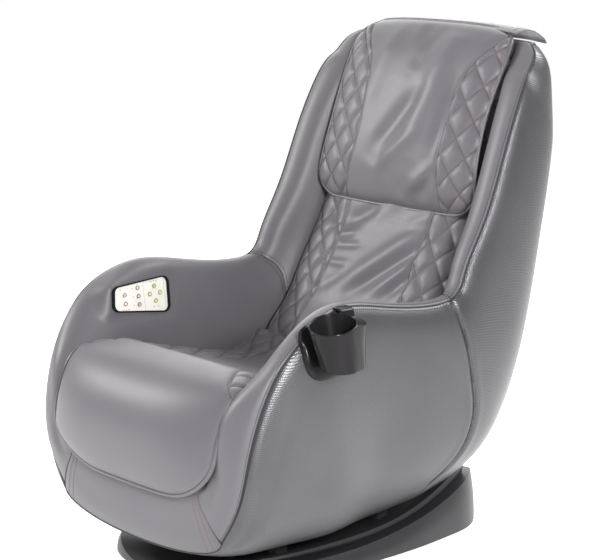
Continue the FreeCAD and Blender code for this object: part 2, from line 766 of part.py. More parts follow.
# ---------------------------------------------------------------- cup holder
def cup_outline(circle, z):
    """Plan of the holder: the well's front, the web's outer and rear faces, and the bracket's face."""
    x, y, radius = circle

    def on_circle(degrees):
        turn = math.radians(degrees)
        return Vector(x + radius * math.cos(turn), y + radius * math.sin(turn), z)

    flat = BRACKET_X + 0.2
    start = on_circle(WEB_OUT)
    end = on_circle(WEB_OUT - 140)
    corner = Vector(WEB_CORNER[0], WEB_CORNER[1], z)
    back = Vector(flat, WEB_BACK, z)
    close = Vector(flat, end.y + 12, z)
    arc = Part.Arc(end, on_circle(WEB_OUT - 70), start).toShape()
    return Part.Wire([arc, segment(start, corner), segment(corner, back), segment(back, close),
                      segment(close, end)])


def cone_between(foot, mouth, z0, z1, inset):
    wires = []
    for (x, y, radius), z in ((foot, z0), (mouth, z1)):
        wires.append(Part.Wire(Part.makeCircle(radius - inset, Vector(x, y, z), Vector(0, 0, 1))))
    return Part.makeLoft(wires, True, True)


def cup_holder():
    spare = 30.0
    grow = 1 + spare / (CUP_TOP - CUP_BASE)
    mouth = tuple(f + (m - f) * grow for f, m in zip(CUP_FOOT, CUP_MOUTH))
    body = Part.makeLoft([cup_outline(CUP_FOOT, CUP_BASE), cup_outline(mouth, CUP_TOP + spare)], True, True)
    well = cone_between(CUP_FOOT, mouth, CUP_BASE + 3, CUP_TOP + spare + 3, CUP_WALL)
    hollow = polygon([Vector(x, y, CUP_BASE - 1) for x, y in WEB_HOLLOW])
    pocket = hollow.extrude(Vector(0, 0, WEB_DEPTH))
    tilt = Rotation(Vector(0, 0, 1), Vector(-CUP_RISE[0], -CUP_RISE[1], 1))
    above = box(-150, 150, -150, 150, 0, 90)
    above.Placement = Placement(Vector(CUP_MOUTH[0], CUP_MOUTH[1], CUP_TOP), tilt)
    save("cup_holder", largest(body.cut(above).cut(well).cut(pocket)))
    save("cup_holder_bracket", cup_bracket())


def cover_side(y, z):
    """Outer half width of the side cover at a place beside the cup holder."""
    best = None
    for i in range(200, 640):
        section = Section(i / 100.0)
        dy = y - section.rim.y
        dz = z - section.rim.z
        along = dy * section.down.y + dz * section.down.z
        off = abs(dy * section.down.z - dz * section.down.y)
        if along >= 0 and (best is None or off < best[0]):
            best = (off, section.half_width(along / section.depth))
    return best[1] if best else 0.0


def cup_bracket():
    """Plate shaped to the side cover on one face and flat on the other, with a hook over the arm."""
    wires = []
    for y, low, high in ((-311, 478, 522), (-300, 462, 530), (-270, 458, 545), (-235, 462, 558), (-205, 480, 566)):
        heights = [low + (high - low) * i / 6.0 for i in range(7)]
        inner = [Vector(cover_side(y, z) + 1.5, y, z) for z in heights]
        outer = [Vector(BRACKET_X, y, z) for z in (high, low)]
        wires.append(Part.makePolygon(inner + outer + [inner[0]]))
    plate = Part.makeLoft(wires, True, True)
    hook = [(341.5, 568), (352, 568), (364, 545), (372, 545), (372, 572), (352, 587), (348, 590), (316, 590),
            (312, 586), (312, 580), (316, 580), (316, 586), (341.5, 586)]
    clip = polygon([Vector(x, -219, z) for x, z in hook]).extrude(Vector(0, 34, 0))
    return plate.fuse(clip)


# ---------------------------------------------------------------- base
def base_loft(inset, lower, floor):
    wires = []
    for y, half, side, middle in BASE_ROWS:
        w = max(20.0, half - inset)
        side_top = max(floor + 4.0, side - lower)
        mid_top = max(floor + 4.0, middle - lower)
        bevel = min(14.0, (side_top - floor) * 0.6)
        right = [Vector(w, y, floor), Vector(w - 2, y, floor + (side_top - floor) * 0.4),
                 Vector(w - bevel, y, side_top)]
        top = [Vector(w - bevel, y, side_top), Vector(w * 0.45, y, (side_top + mid_top) / 2),
               Vector(0, y, mid_top), Vector(-w * 0.45, y, (side_top + mid_top) / 2),
               Vector(-w + bevel, y, side_top)]
        left = [Vector(-p.x, y, p.z) for p in reversed(right)]
        wires.append(Part.Wire([spline(right), spline(top), spline(left), segment(left[-1], right[0])]))
    return Part.makeLoft(wires, True, False)


def post_places():
    return [(x, y) for y in POST_Y for x in (-BAR_X, BAR_X)]


def base():
    outer = base_loft(0.0, 0.0, 3.0)
    inner = base_loft(BASE_SKIN, BASE_SKIN, 0.0)
    cover = outer.cut(inner)
    for x, y in post_places():
        cover = cover.cut(box(x - POST_HOLE, x + POST_HOLE, y - POST_HOLE, y + POST_HOLE, 15, 90))
    save("base_cover", cover)

    # collar: a low rim between the base cover and the shell's belly
    wires = []
    for y, half, low, height in COLLAR_ROWS:
        wires.append(Part.makePolygon([
            Vector(half, y, low), Vector(half + 3, y, low + height * 0.5), Vector(half, y, low + height),
            Vector(half - 16, y, low + height), Vector(half - 16, y, low), Vector(half, y, low)]))
    rim = Part.makeLoft(wires, True, False).cut(base_loft(-0.3, -0.3, 3.0))
    save("base_collar", Part.makeCompound([rim, mirrored(rim)]))

    # welded steel frame: two bars, cross bars and the posts that carry the shell
    parts = []
    for x in (-BAR_X, BAR_X):
        parts.append(box(x - 15, x + 15, -330, 330, BAR_Z, BAR_Z + BAR_H))
    for y in (-300, 0, 300):
        parts.append(box(-BAR_X, BAR_X, y - 15, y + 15, BAR_Z + 2, BAR_Z + BAR_H - 2))
    for x, y in post_places():
        centre_line = belly_under(x, y)
        parts.append(box(x - POST_HALF, x + POST_HALF, y - POST_HALF, y + POST_HALF,
                         BAR_Z, centre_line - 1.0))
    save("base_frame", fuse(parts))

    feet = []
    for y in (-300, 0, 300):
        for x in (-BAR_X, BAR_X):
            feet.append(Part.makeCylinder(FOOT_R, BAR_Z, Vector(x, y, 0)))
    feet.append(Part.makeCylinder(FOOT_R, BAR_Z + 2, Vector(0, 0, 0)))
    save("base_feet", Part.makeCompound(feet))


def belly_under(x, y):
    """Lowest height of the belly's outer face over a post's footprint."""
    lowest = 999.0
    for i in range(0, 10 * REAR_START + 1):
        section = Section(i / 10.0)
        for dx in (-POST_HALF, POST_HALF):
            place = section.place(x + dx, section.v_at(x + dx) * section.depth)
            if abs(place.y - y) < POST_HALF + 8:
                lowest = min(lowest, place.z)
    return lowest


# ---------------------------------------------------------------- electrics
def electrics():
    save("control_box", box(-170, -20, -330, -230, 214, 256))
    save("power_supply", box(20, 180, -330, -230, 206, 256))

    # one module behind the rear cover holds the mains inlet and the rocker switch
    place = inlet_place()
    body = box(-44, 40, -10, 10, -24, 0).fuse(box(-48, 44, -14, 14, 0, 3)).removeSplitter()
    body = body.cut(box(-41, -19, -7, 7, -18, 4)).cut(box(16, 36, -9.2, 9.2, -15, 4))
    pins = [box(x - 1, x + 1, -3, 3, -18, -4) for x in (-37, -30, -23)]
    bearings = [rod_x(1.9, x, x + 1.5, 0, -1) for x in (14.5, 36)]
    for hole in bearings:
        body = body.cut(hole)
    key = across([(-7.4, -3), (-7.4, 5), (0, 3.6), (7.4, 5), (7.4, -3), (0, -5)], 16.6, 35.4)
    key = fuse([key, rod_x(1.5, 14.8, 37.2, 0, -1)])
    key.rotate(Vector(0, 0, -1), Vector(1, 0, 0), -SWITCH_TILT)
    for name, shape in (("power_inlet", fuse([body] + pins)), ("power_switch", key)):
        shape.Placement = place
        save(name, shape)


def build():
    side_cover = shell_pieces()
    body_frame()
    upholstery(side_cover)
    track()
    carriage()
    control_panel()
    cup_holder()
    base()
    electrics()


build()
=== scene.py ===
"""Looks of the shell-shaped lounge massage chair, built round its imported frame.

Metres, +Z up, the sitter faces -Y, origin at the centre of the base's floor face.
Lengths in the tables are millimetres, as in the part's source, and go through MM.
"""
import math

import bpy
import numpy as np
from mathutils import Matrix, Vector


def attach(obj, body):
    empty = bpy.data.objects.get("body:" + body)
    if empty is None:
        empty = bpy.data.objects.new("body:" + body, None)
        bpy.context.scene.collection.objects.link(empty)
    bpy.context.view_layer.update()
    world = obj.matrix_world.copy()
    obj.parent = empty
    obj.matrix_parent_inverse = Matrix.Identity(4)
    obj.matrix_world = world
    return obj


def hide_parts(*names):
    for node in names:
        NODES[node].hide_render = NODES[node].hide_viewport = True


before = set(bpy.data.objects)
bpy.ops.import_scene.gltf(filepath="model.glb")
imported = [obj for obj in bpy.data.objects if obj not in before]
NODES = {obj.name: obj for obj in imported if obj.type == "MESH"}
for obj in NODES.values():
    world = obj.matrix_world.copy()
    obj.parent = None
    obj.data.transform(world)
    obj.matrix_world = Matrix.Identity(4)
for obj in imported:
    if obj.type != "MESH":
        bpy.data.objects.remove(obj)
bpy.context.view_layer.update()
MM = 0.001

# ---------------------------------------------------------------- driving dimensions (mm)
# Shell stations along the rim seam: rim x, y, z, then the centre line's y, z, then fullness.
STATIONS = np.array([
    (259, -438, 138, -443, 84, 2.1),
    (312, -437, 226, -400, 70, 2.6),
    (330, -422, 337, -320, 58, 3.0),
    (339, -375, 459, -215, 52, 3.3),
    (346, -307, 535, -120, 51, 3.5),
    (330, -193, 579, -20, 55, 3.5),
    (325, -40, 558, 105, 66, 3.5),
    (325, 120, 549, 265, 108, 3.4),
    (323, 170, 610, 365, 200, 3.4),
    (323, 228, 713, 420, 340, 3.4),
    (320, 286, 850, 460, 540, 3.4),
    (311, 345, 965, 492, 740, 3.4),
    (300, 378, 1000, 508, 880, 3.2),
    (290, 405, 1030, 512, 970, 2.8),
    (262, 424, 1050, 500, 1030, 2.5),
], float)
LAST = len(STATIONS) - 1
SHOULDER = 26.0          # how far the sides swell outside the rim
SHOULDER_RUN = 35.0      # depth over which most of the swell happens
FULL_DEPTH = 250.0       # depth of shell that swells in full
SPLIT_X = 190.0          # seam between the side covers and the rear
REAR_START = 8           # station where the belly panel ends and the rear panel begins
INLET_STATION = 8.6      # station of the mains inlet
SKIN = 4.0               # thickness of the leather panels
SIDES = ((1, "right"), (-1, "left"))

# The band's crest: widths to its inner wall, and where the wall ends behind the pads
PAD_TOP = [258, 262, 270, 276, 280, 277, 274, 270, 262, 253, 246, 229, 213, 205, 198]
PAD_FACE = [256, 256, 256, 257, 258, 258, 256, 250, 246, 241, 236, 220, 205, 198, 190]
WALL_END = [(-430, 270), (-330, 262), (-300, 330), (-280, 380), (-245, 392), (-180, 372), (-60, 335),
            (100, 330), (205, 420), (275, 560), (335, 720), (385, 850), (412, 930), (432, 980), (446, 1004)]

# The control panel in the -X wall: its corners (y, z), and where its face stands (x, z) and leans
PANEL_CORNERS = [(-301, 487), (-294, 539), (-141, 548), (-146, 467)]
PANEL_ORIGIN = (-262.0, 465.0)
PANEL_SLOPE = 0.18

STITCH = 6.0             # pitch of the thick stitches along the seams


# ---------------------------------------------------------------- numeric helpers
def cubic(knots, values):
    """Natural cubic spline through values at knots, as a function of the parameter."""
    k = np.asarray(knots, float)
    v = np.asarray(values, float)
    flat = v.ndim == 1
    v = v.reshape(len(k), -1)
    h = np.diff(k)
    system = np.eye(len(k))
    right = np.zeros_like(v)
    for i in range(1, len(k) - 1):
        system[i, i - 1:i + 2] = h[i - 1], 2 * (h[i - 1] + h[i]), h[i]
        right[i] = 6 * ((v[i + 1] - v[i]) / h[i] - (v[i] - v[i - 1]) / h[i - 1])
    bend = np.linalg.solve(system, right)

    def at(t):
        t = np.asarray(t, float)
        s = t.ravel()
        i = np.clip(np.searchsorted(k, s) - 1, 0, len(k) - 2)
        a = ((k[i + 1] - s) / h[i])[:, None]
        b = ((s - k[i]) / h[i])[:, None]
        out = a * v[i] + b * v[i + 1]
        out += ((a ** 3 - a) * bend[i] + (b ** 3 - b) * bend[i + 1]) * (h[i] ** 2 / 6)[:, None]
        return out.reshape(t.shape) if flat else out.reshape(t.shape + (v.shape[1],))

    return at


def lengths(points):
    """Running length along the second-to-last axis."""
    step = np.linalg.norm(np.diff(points, axis=-2), axis=-1)
    zero = np.zeros(step.shape[:-1] + (1,))
    return np.concatenate([zero, np.cumsum(step, axis=-1)], axis=-1)


def resample(points, count):
    """One polyline with count evenly spaced points."""
    run = lengths(points)
    want = np.linspace(0, run[-1], count)
    return np.stack([np.interp(want, run, points[:, i]) for i in range(points.shape[1])], axis=1)


def spline(points, dense, count):
    """Evenly spaced points of the smooth curve through some points."""
    run = lengths(points)
    return resample(cubic(run, points)(np.linspace(0, run[-1], dense)), count)


def refine(values, count):
    """Values along the first axis, refined to count rows by a spline."""
    rows = len(values)
    fine = cubic(np.linspace(0, 1, rows), values.reshape(rows, -1))(np.linspace(0, 1, count))
    return fine.reshape((count,) + values.shape[1:])


def unit(v):
    return v / np.maximum(np.linalg.norm(v, axis=-1, keepdims=True), 1e-12)


def grid_normals(p):
    """Normals of a grid of points, from its two directions."""
    return unit(np.cross(np.gradient(p, axis=0), np.gradient(p, axis=1)))


def facing(grid, row, col, axis, sign=1):
    """Normals of a grid, turned so that the one at row, col points along the signed axis."""
    out = grid_normals(grid)
    return out if out[row, col, axis] * sign > 0 else -out


def bell(d, width):
    return np.exp(-(d / width) ** 2)


def smooth(x):
    x = np.clip(x, 0.0, 1.0)
    return x * x * (3 - 2 * x)


def distance_to_line(x, y, points):
    """Distance from (x, y) to a polyline in the same plane."""
    best = np.full(np.shape(x), 1e9)
    for (ax, ay), (bx, by) in zip(points[:-1], points[1:]):
        size = (bx - ax) ** 2 + (by - ay) ** 2
        t = np.clip(((x - ax) * (bx - ax) + (y - ay) * (by - ay)) / size, 0, 1)
        best = np.minimum(best, np.hypot(x - ax - t * (bx - ax), y - ay - t * (by - ay)))
    return best


# ---------------------------------------------------------------- meshes
def add_mesh(name, verts, faces, material):
    mesh = bpy.data.meshes.new(name)
    mesh.from_pydata(np.asarray(verts).tolist(), [], faces)
    mesh.validate()
    mesh.update()
    mesh.polygons.foreach_set("use_smooth", [True] * len(mesh.polygons))
    piece = bpy.data.objects.new(name, mesh)
    bpy.context.collection.objects.link(piece)
    mesh.materials.append(material)
    return piece


def make(name, shape, looks, slot, *replaced, body="root"):
    """A mesh piece of one (vertices, faces) shape, given its body and the nodes it replaces; the slot
    argument is not used.
    """
    piece = add_mesh(name, *shape, looks)
    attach(piece, body)
    if replaced:
        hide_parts(*replaced)
    return piece


def border(rows, cols):
    """Indices round a grid, once."""
    around = list(range(cols))
    around += [i * cols + cols - 1 for i in range(1, rows)]
    around += [(rows - 1) * cols + j for j in range(cols - 2, -1, -1)]
    around += [i * cols for i in range(rows - 2, 0, -1)]
    return around


def closed_grid(top, under, flip=False, keep=None):
    """Vertices and faces of a closed solid between two grids of the same size, with optional openings."""
    rows, cols = top.shape[:2]
    count = rows * cols
    verts = np.concatenate([top.reshape(-1, 3), under.reshape(-1, 3)])
    faces = []
    edges = {}
    for i in range(rows - 1):
        for j in range(cols - 1):
            if keep is not None and not keep[i, j]:
                continue
            a = i * cols + j
            quad = (a, a + 1, a + cols + 1, a + cols)
            faces.append(quad[::-1] if flip else quad)
            back = tuple(k + count for k in quad)
            faces.append(back if flip else back[::-1])
            for k in range(4):
                one, two = quad[k], quad[(k + 1) % 4]
                if (two, one) in edges:
                    del edges[(two, one)]
                else:
                    edges[(one, two)] = True
    for a, b in edges:
        wall = (a, a + count, b + count, b)
        faces.append(wall[::-1] if flip else wall)
    return verts, faces


def skin(surface, out, thick=SKIN, mirror=1.0, **options):
    """Closed shape of a leather panel, from its outside surface in mm and the outward normals."""
    return closed_grid(surface * mirror * MM, (surface - out * thick) * mirror * MM, **options)


def point_data(piece, name, values):
    """Store one vector per vertex for the materials to read."""
    layer = piece.data.attributes.new(name, "FLOAT_VECTOR", "POINT")
    layer.data.foreach_set("vector", np.ascontiguousarray(values, dtype=np.float32).ravel())


def ring_faces(rings, count, closed=False):
    """Quads between successive rings of count points each."""
    faces = []
    for i in range(rings if closed else rings - 1):
        j = (i + 1) % rings
        for k in range(count):
            m = (k + 1) % count
            faces.append((i * count + k, i * count + m, j * count + m, j * count + k))
    return faces


def tube(points, radius, sides=10, closed=False):
    """Vertices and faces of a round tube along a polyline."""
    points = np.asarray(points, float)
    n = len(points)
    if closed:
        along = unit(np.roll(points, -1, 0) - np.roll(points, 1, 0))
    else:
        along = unit(np.gradient(points, axis=0))
    side = np.cross(along[0], [0.3, 0.5, 0.81])
    rings = []
    for i in range(n):
        side = side - along[i] * np.dot(side, along[i])
        side = side / np.linalg.norm(side)
        other = np.cross(along[i], side)
        angle = np.linspace(0, 2 * math.pi, sides, endpoint=False)[:, None]
        rings.append(points[i] + radius * (np.cos(angle) * side + np.sin(angle) * other))
    verts = np.concatenate(rings)
    faces = ring_faces(n, sides, closed)
    if not closed:
        faces.append(tuple(range(sides))[::-1])
        faces.append(tuple((n - 1) * sides + k for k in range(sides)))
    return verts, faces


def merge(parts):
    """Join several (verts, faces) lists into one."""
    verts = []
    faces = []
    start = 0
    for v, f in parts:
        verts.append(np.asarray(v))
        faces += [tuple(i + start for i in face) for face in f]
        start += len(v)
    return np.concatenate(verts), faces


def stitches(points, lift, pitch=STITCH, thread=0.55):
    """Short raised stitches in a row along a polyline; lift holds the outward direction at each point."""
    run = lengths(points)
    total = run[-1]
    count = max(2, int(total / (pitch * MM)))
    parts = []
    for i in range(count):
        span = total / count
        stations = np.array([0.12, 0.3, 0.5, 0.7, 0.88]) * span + i * span
        place = np.stack([np.interp(stations, run, points[:, k]) for k in range(3)], axis=1)
        out = np.stack([np.interp(stations, run, lift[:, k]) for k in range(3)], axis=1)
        rise = np.array([-0.5, 0.35, 0.6, 0.35, -0.5])[:, None] * thread * MM
        parts.append(tube(place + unit(out) * rise, thread * MM, 5))
    return merge(parts)


# ---------------------------------------------------------------- materials
def new_material(name):
    material = bpy.data.materials.new(name)
    material.use_nodes = True
    tree = material.node_tree
    shader = tree.nodes["Principled BSDF"]
    return material, tree, shader


def math_node(tree, operation, first, second=None):
    """A math node; each input is a socket or a number."""
    made = tree.nodes.new("ShaderNodeMath")
    made.operation = operation
    for i, value in enumerate((first, second)):
        if value is None:
            continue
        if isinstance(value, (int, float)):
            made.inputs[i].default_value = value
        else:
            tree.links.new(value, made.inputs[i])
    return made.outputs[0]


def mix_colour(tree, factor, first, second):
    """Blend two colours (sockets or tuples) by a factor socket."""
    made = tree.nodes.new("ShaderNodeMix")
    made.data_type = "RGBA"
    for socket, value in ((0, factor), (6, first), (7, second)):
        if isinstance(value, (int, float, tuple)):
            made.inputs[socket].default_value = value
        else:
            tree.links.new(value, made.inputs[socket])
    return made.outputs[2]


def read_vector(tree, name):
    """The X, Y and Z outputs of a vector stored on the mesh."""
    reader = tree.nodes.new("ShaderNodeAttribute")
    reader.attribute_name = name
    split = tree.nodes.new("ShaderNodeSeparateXYZ")
    tree.links.new(reader.outputs["Vector"], split.inputs[0])
    return split.outputs


def noise(tree, scale, detail=2.0, rough=0.5, vector=None):
    made = tree.nodes.new("ShaderNodeTexNoise")
    made.inputs["Scale"].default_value = scale
    made.inputs["Detail"].default_value = detail
    made.inputs["Roughness"].default_value = rough
    if vector is None:
        coords = tree.nodes.new("ShaderNodeTexCoord")
        vector = coords.outputs["Object"]
    tree.links.new(vector, made.inputs["Vector"])
    return made.outputs["Fac"]


def ranged(tree, value, low, high):
    made = tree.nodes.new("ShaderNodeMapRange")
    made.inputs["To Min"].default_value = low
    made.inputs["To Max"].default_value = high
    tree.links.new(value, made.inputs["Value"])
    return made.outputs["Result"]


def bump(tree, shader, height, distance, strength=1.0, after=None):
    made = tree.nodes.new("ShaderNodeBump")
    made.inputs["Distance"].default_value = distance
    made.inputs["Strength"].default_value = strength
    tree.links.new(height, made.inputs["Height"])
    if after is not None:
        tree.links.new(after.outputs["Normal"], made.inputs["Normal"])
    tree.links.new(made.outputs["Normal"], shader.inputs["Normal"])
    return made


def grain_height(tree):
    """Leather grain: small cells with pores."""
    coords = tree.nodes.new("ShaderNodeTexCoord")
    cells = tree.nodes.new("ShaderNodeTexVoronoi")
    cells.feature = "DISTANCE_TO_EDGE"
    cells.inputs["Scale"].default_value = 620.0
    cells.inputs["Randomness"].default_value = 0.9
    tree.links.new(coords.outputs["Object"], cells.inputs["Vector"])
    edge = ranged(tree, cells.outputs["Distance"], 0.0, 1.0)
    pores = noise(tree, 900.0, 3.0, 0.6)
    return math_node(tree, "ADD", edge, math_node(tree, "MULTIPLY", pores, 0.5))


def leather(name, colour, worn, roughness=0.43, sheen=0.08):
    """Smooth soft leather: fine grain and broad faint mottling."""
    material, tree, shader = new_material(name)
    broad = noise(tree, 6.0, 3.0, 0.55)
    fine = noise(tree, 160.0, 2.0, 0.5)
    tone = math_node(tree, "ADD", math_node(tree, "MULTIPLY", broad, 0.75),
                     math_node(tree, "MULTIPLY", fine, 0.25))
    mixed = mix_colour(tree, ranged(tree, tone, 0.0, 1.0), colour, worn)
    tree.links.new(mixed, shader.inputs["Base Color"])
    tree.links.new(ranged(tree, fine, roughness - 0.05, roughness + 0.07), shader.inputs["Roughness"])
    shader.inputs["Specular IOR Level"].default_value = 0.5
    shader.inputs["Sheen Weight"].default_value = sheen
    shader.inputs["Sheen Roughness"].default_value = 0.5
    bump(tree, shader, grain_height(tree), 0.00016, 0.7)
    return material, tree, shader, mixed


def line_mask(tree, distance, half):
    """1 inside half of a line, soft over the same width again."""
    made = tree.nodes.new("ShaderNodeMapRange")
    made.inputs["From Min"].default_value = half
    made.inputs["From Max"].default_value = half * 2.2
    made.inputs["To Min"].default_value = 1.0
    made.inputs["To Max"].default_value = 0.0
    tree.links.new(distance, made.inputs["Value"])
    return made.outputs["Result"]


def quilted_leather(name, colour, worn, thread):
    """The pads' leather, whose quilting thread, creases and seams come from the pad's own coordinates; the
    creases and the strip's seam are darkened with painted shade.

    Attribute quilt: X and Y are the two diamond coordinates (whole numbers on the stitch lines),
    Z is the signed distance in millimetres from the strip's seam, positive in the quilted strip.
    """
    material, tree, shader, mixed = leather(name, colour, worn)
    stored = read_vector(tree, "quilt")
    inside = math_node(tree, "GREATER_THAN", stored["Z"], 0.0)
    crease = None
    dashes = None
    for here, other in (("X", "Y"), ("Y", "X")):
        whole = math_node(tree, "ROUND", stored[here])
        away = math_node(tree, "ABSOLUTE", math_node(tree, "SUBTRACT", stored[here], whole))
        away = math_node(tree, "MULTIPLY", away, QUILT_SPAN)
        dark = line_mask(tree, away, 0.8)
        beat = math_node(tree, "FRACT", math_node(tree, "MULTIPLY", stored[other], 13.0))
        seen = math_node(tree, "GREATER_THAN", beat, 0.3)
        strand = math_node(tree, "MULTIPLY", line_mask(tree, away, 0.42), seen)
        crease = dark if crease is None else math_node(tree, "MAXIMUM", crease, dark)
        dashes = strand if dashes is None else math_node(tree, "MAXIMUM", dashes, strand)
    crease = math_node(tree, "MULTIPLY", crease, inside)
    dashes = math_node(tree, "MULTIPLY", dashes, inside)
    from_seam = math_node(tree, "ABSOLUTE", stored["Z"])
    seam = line_mask(tree, from_seam, 0.8)
    crease = math_node(tree, "MAXIMUM", crease, seam)
    # painted shade: the quilting creases and the strip's seam are darkened to 45 % of the leather colour
    crease_shade_colour = tuple(c * 0.45 for c in colour[:3]) + (1.0,)
    shaded = mix_colour(tree, math_node(tree, "MULTIPLY", crease, 0.75), mixed, crease_shade_colour)
    final = mix_colour(tree, dashes, shaded, thread)
    tree.links.new(final, shader.inputs["Base Color"])
    fine = shader.inputs["Normal"].links[0].from_node
    groove = math_node(tree, "SUBTRACT", math_node(tree, "MULTIPLY", dashes, 0.6), crease)
    bump(tree, shader, groove, 0.0010, 0.8, after=fine)
    return material


def ribbed_leather(name, colour, light):
    """Embossed twill: fine slanting ribs crossed by thread breaks, with a slight metal sheen; painted light
    and shade makes the rib tops lighter and the grooves darker.
    """
    material, tree, shader = new_material(name)
    stored = read_vector(tree, "weave")
    ribs = math_node(tree, "SINE", math_node(tree, "MULTIPLY", stored["X"], 2 * math.pi / RIB_PITCH))
    phase = math_node(tree, "FLOOR", math_node(tree, "DIVIDE", stored["X"], RIB_PITCH))
    stagger = math_node(tree, "MULTIPLY", phase, 0.37 * 2 * math.pi)
    cross = math_node(tree, "ADD", math_node(tree, "MULTIPLY", stored["Y"],
                                             2 * math.pi / (RIB_PITCH * 1.3)), stagger)
    breaks = math_node(tree, "SINE", cross)
    height = math_node(tree, "ADD", math_node(tree, "MULTIPLY", ribs, 0.5),
                       math_node(tree, "MULTIPLY", math_node(tree, "ABSOLUTE", breaks), 0.35))
    level = ranged(tree, height, 0.0, 1.0)
    broad = noise(tree, 5.0, 2.0, 0.5)
    tone = math_node(tree, "ADD", math_node(tree, "MULTIPLY", level, 0.6),
                     math_node(tree, "MULTIPLY", broad, 0.4))
    # painted light and shade: colour follows the rib height, lighter on the rib tops and darker in the
    # grooves; the broad noise is random tone
    tree.links.new(mix_colour(tree, tone, colour, light), shader.inputs["Base Color"])
    tree.links.new(ranged(tree, level, 0.34, 0.26), shader.inputs["Roughness"])
    shader.inputs["Metallic"].default_value = 0.55
    shader.inputs["Specular IOR Level"].default_value = 0.6
    bump(tree, shader, height, 0.00028, 0.7)
    return material


def plastic(name, colour, roughness, coat=0.0, texture=700.0, depth=0.00008, metal=0.0, shine=0.5):
    """Moulded plastic or paint: a faint texture, slight tone change and handling marks."""
    material, tree, shader = new_material(name)
    broad = noise(tree, 14.0, 3.0, 0.6)
    fine = noise(tree, texture, 2.0, 0.5)
    lighter = tuple(min(1.0, c * 1.25 + 0.004) for c in colour[:3]) + (1.0,)
    tree.links.new(mix_colour(tree, broad, colour, lighter), shader.inputs["Base Color"])
    marks = math_node(tree, "MULTIPLY", broad, fine)
    tree.links.new(ranged(tree, marks, roughness * 0.85, roughness * 1.3), shader.inputs["Roughness"])
    shader.inputs["Coat Weight"].default_value = coat
    shader.inputs["Coat Roughness"].default_value = 0.06
    shader.inputs["Specular IOR Level"].default_value = shine
    shader.inputs["Metallic"].default_value = metal
    bump(tree, shader, fine, depth, 0.5)
    return material


def plywood(name):
    material, tree, shader = new_material(name)
    coords = tree.nodes.new("ShaderNodeTexCoord")
    stretch = tree.nodes.new("ShaderNodeMapping")
    stretch.inputs["Scale"].default_value = (40.0, 3.0, 26.0)
    tree.links.new(coords.outputs["Object"], stretch.inputs["Vector"])
    grain = noise(tree, 2.0, 5.0, 0.6, stretch.outputs["Vector"])
    tree.links.new(mix_colour(tree, grain, (0.42, 0.29, 0.16, 1), (0.68, 0.52, 0.33, 1)),
                   shader.inputs["Base Color"])
    shader.inputs["Roughness"].default_value = 0.65
    bump(tree, shader, grain, 0.0003, 0.6)
    return material


RIB_PITCH = 3.3 * MM
QUILT_WIDE = 65.0
QUILT_HIGH = 80.0
QUILT_SPAN = 1 / math.hypot(1 / QUILT_WIDE, 1 / QUILT_HIGH)

GREY = (0.112, 0.106, 0.116, 1)
GREY_WORN = (0.140, 0.132, 0.144, 1)
THREAD = (0.210, 0.105, 0.120, 1)
SMOOTH = leather("smooth_leather_looks", GREY, GREY_WORN)[0]
QUILTED = quilted_leather("quilted_leather_looks", GREY, GREY_WORN, THREAD)
RIBBED = ribbed_leather("textured_leather_looks", (0.050, 0.049, 0.053, 1), (0.150, 0.147, 0.156, 1))
PIPING = leather("piping_leather_looks", (0.105, 0.098, 0.108, 1), (0.140, 0.132, 0.142, 1), 0.34)[0]
THREAD_DARK = plastic("seam_thread_looks", (0.022, 0.020, 0.024, 1), 0.6)
THREAD_MAUVE = plastic("mauve_thread_looks", THREAD, 0.6)
GLOSS = plastic("gloss_black_looks", (0.010, 0.009, 0.010, 1), 0.24, coat=0.04, texture=40.0, depth=0.0,
                shine=0.14)

PLAIN_LOOKS = (
    # slot, colour, roughness, metal
    ("bottom_board", (0.040, 0.040, 0.044, 1), 0.6, 0.0),
    ("frame_steel", (0.030, 0.030, 0.032, 1), 0.45, 0.0),
    ("bright_steel", (0.55, 0.55, 0.56, 1), 0.32, 1.0),
    ("motor_case", (0.22, 0.22, 0.23, 1), 0.42, 0.0),
    ("white_nylon", (0.72, 0.72, 0.69, 1), 0.45, 0.0),
    ("roller_rubber", (0.060, 0.052, 0.052, 1), 0.7, 0.0),
    ("panel_face", (0.74, 0.71, 0.66, 1), 0.35, 0.0),
    ("circuit_board", (0.02, 0.16, 0.07, 1), 0.35, 0.0),
    ("button_warm", (0.66, 0.60, 0.56, 1), 0.35, 0.0),
    ("button_grey", (0.60, 0.58, 0.55, 1), 0.35, 0.0),
    ("button_green", (0.58, 0.62, 0.40, 1), 0.35, 0.0),
    ("base_plastic", (0.018, 0.018, 0.020, 1), 0.42, 0.0),
    ("foot_rubber", (0.022, 0.022, 0.022, 1), 0.75, 0.0),
    ("case_plastic", (0.030, 0.030, 0.030, 1), 0.5, 0.0),
)
SLOT_LOOKS = {
    "plywood": plywood("plywood_looks"),
    "panel_bezel": GLOSS,
    "gloss_black": GLOSS,
    "textured_leather": RIBBED,
    "smooth_leather": SMOOTH,
}
for slot_name, tint, rough_by, metal_by in PLAIN_LOOKS:
    SLOT_LOOKS[slot_name] = plastic(slot_name + "_looks", tint, rough_by, metal=metal_by)


def dress_cad_nodes():
    """Give every carried-over CAD node the procedural material of its slot."""
    for piece in NODES.values():
        for holder in piece.material_slots:
            slot = holder.material.name.split(".")[0] if holder.material else ""
            for key, looks in SLOT_LOOKS.items():
                if slot == key or slot.endswith(key):
                    holder.material = looks


# ---------------------------------------------------------------- shell
ROW_AT = cubic(np.arange(LAST + 1), STATIONS)


def shell_section(t):
    """Dense outside polyline of the +X half at station t: points and running length, mm."""
    x, y, z, cy, cz, full = ROW_AT(t)
    down = np.array([cy - y, cz - z])
    depth = np.linalg.norm(down)
    down = down / depth
    swell = SHOULDER * min(1.0, depth / FULL_DEPTH)
    a = np.linspace(0, math.pi / 2, 700)
    v = np.sin(a) ** (2 / full)
    w = np.cos(a) ** (2 / full)
    wide = (x + swell * (1 - np.exp(-v * depth / SHOULDER_RUN))) * w
    return np.stack([wide, y + down[0] * v * depth, z + down[1] * v * depth], axis=1)


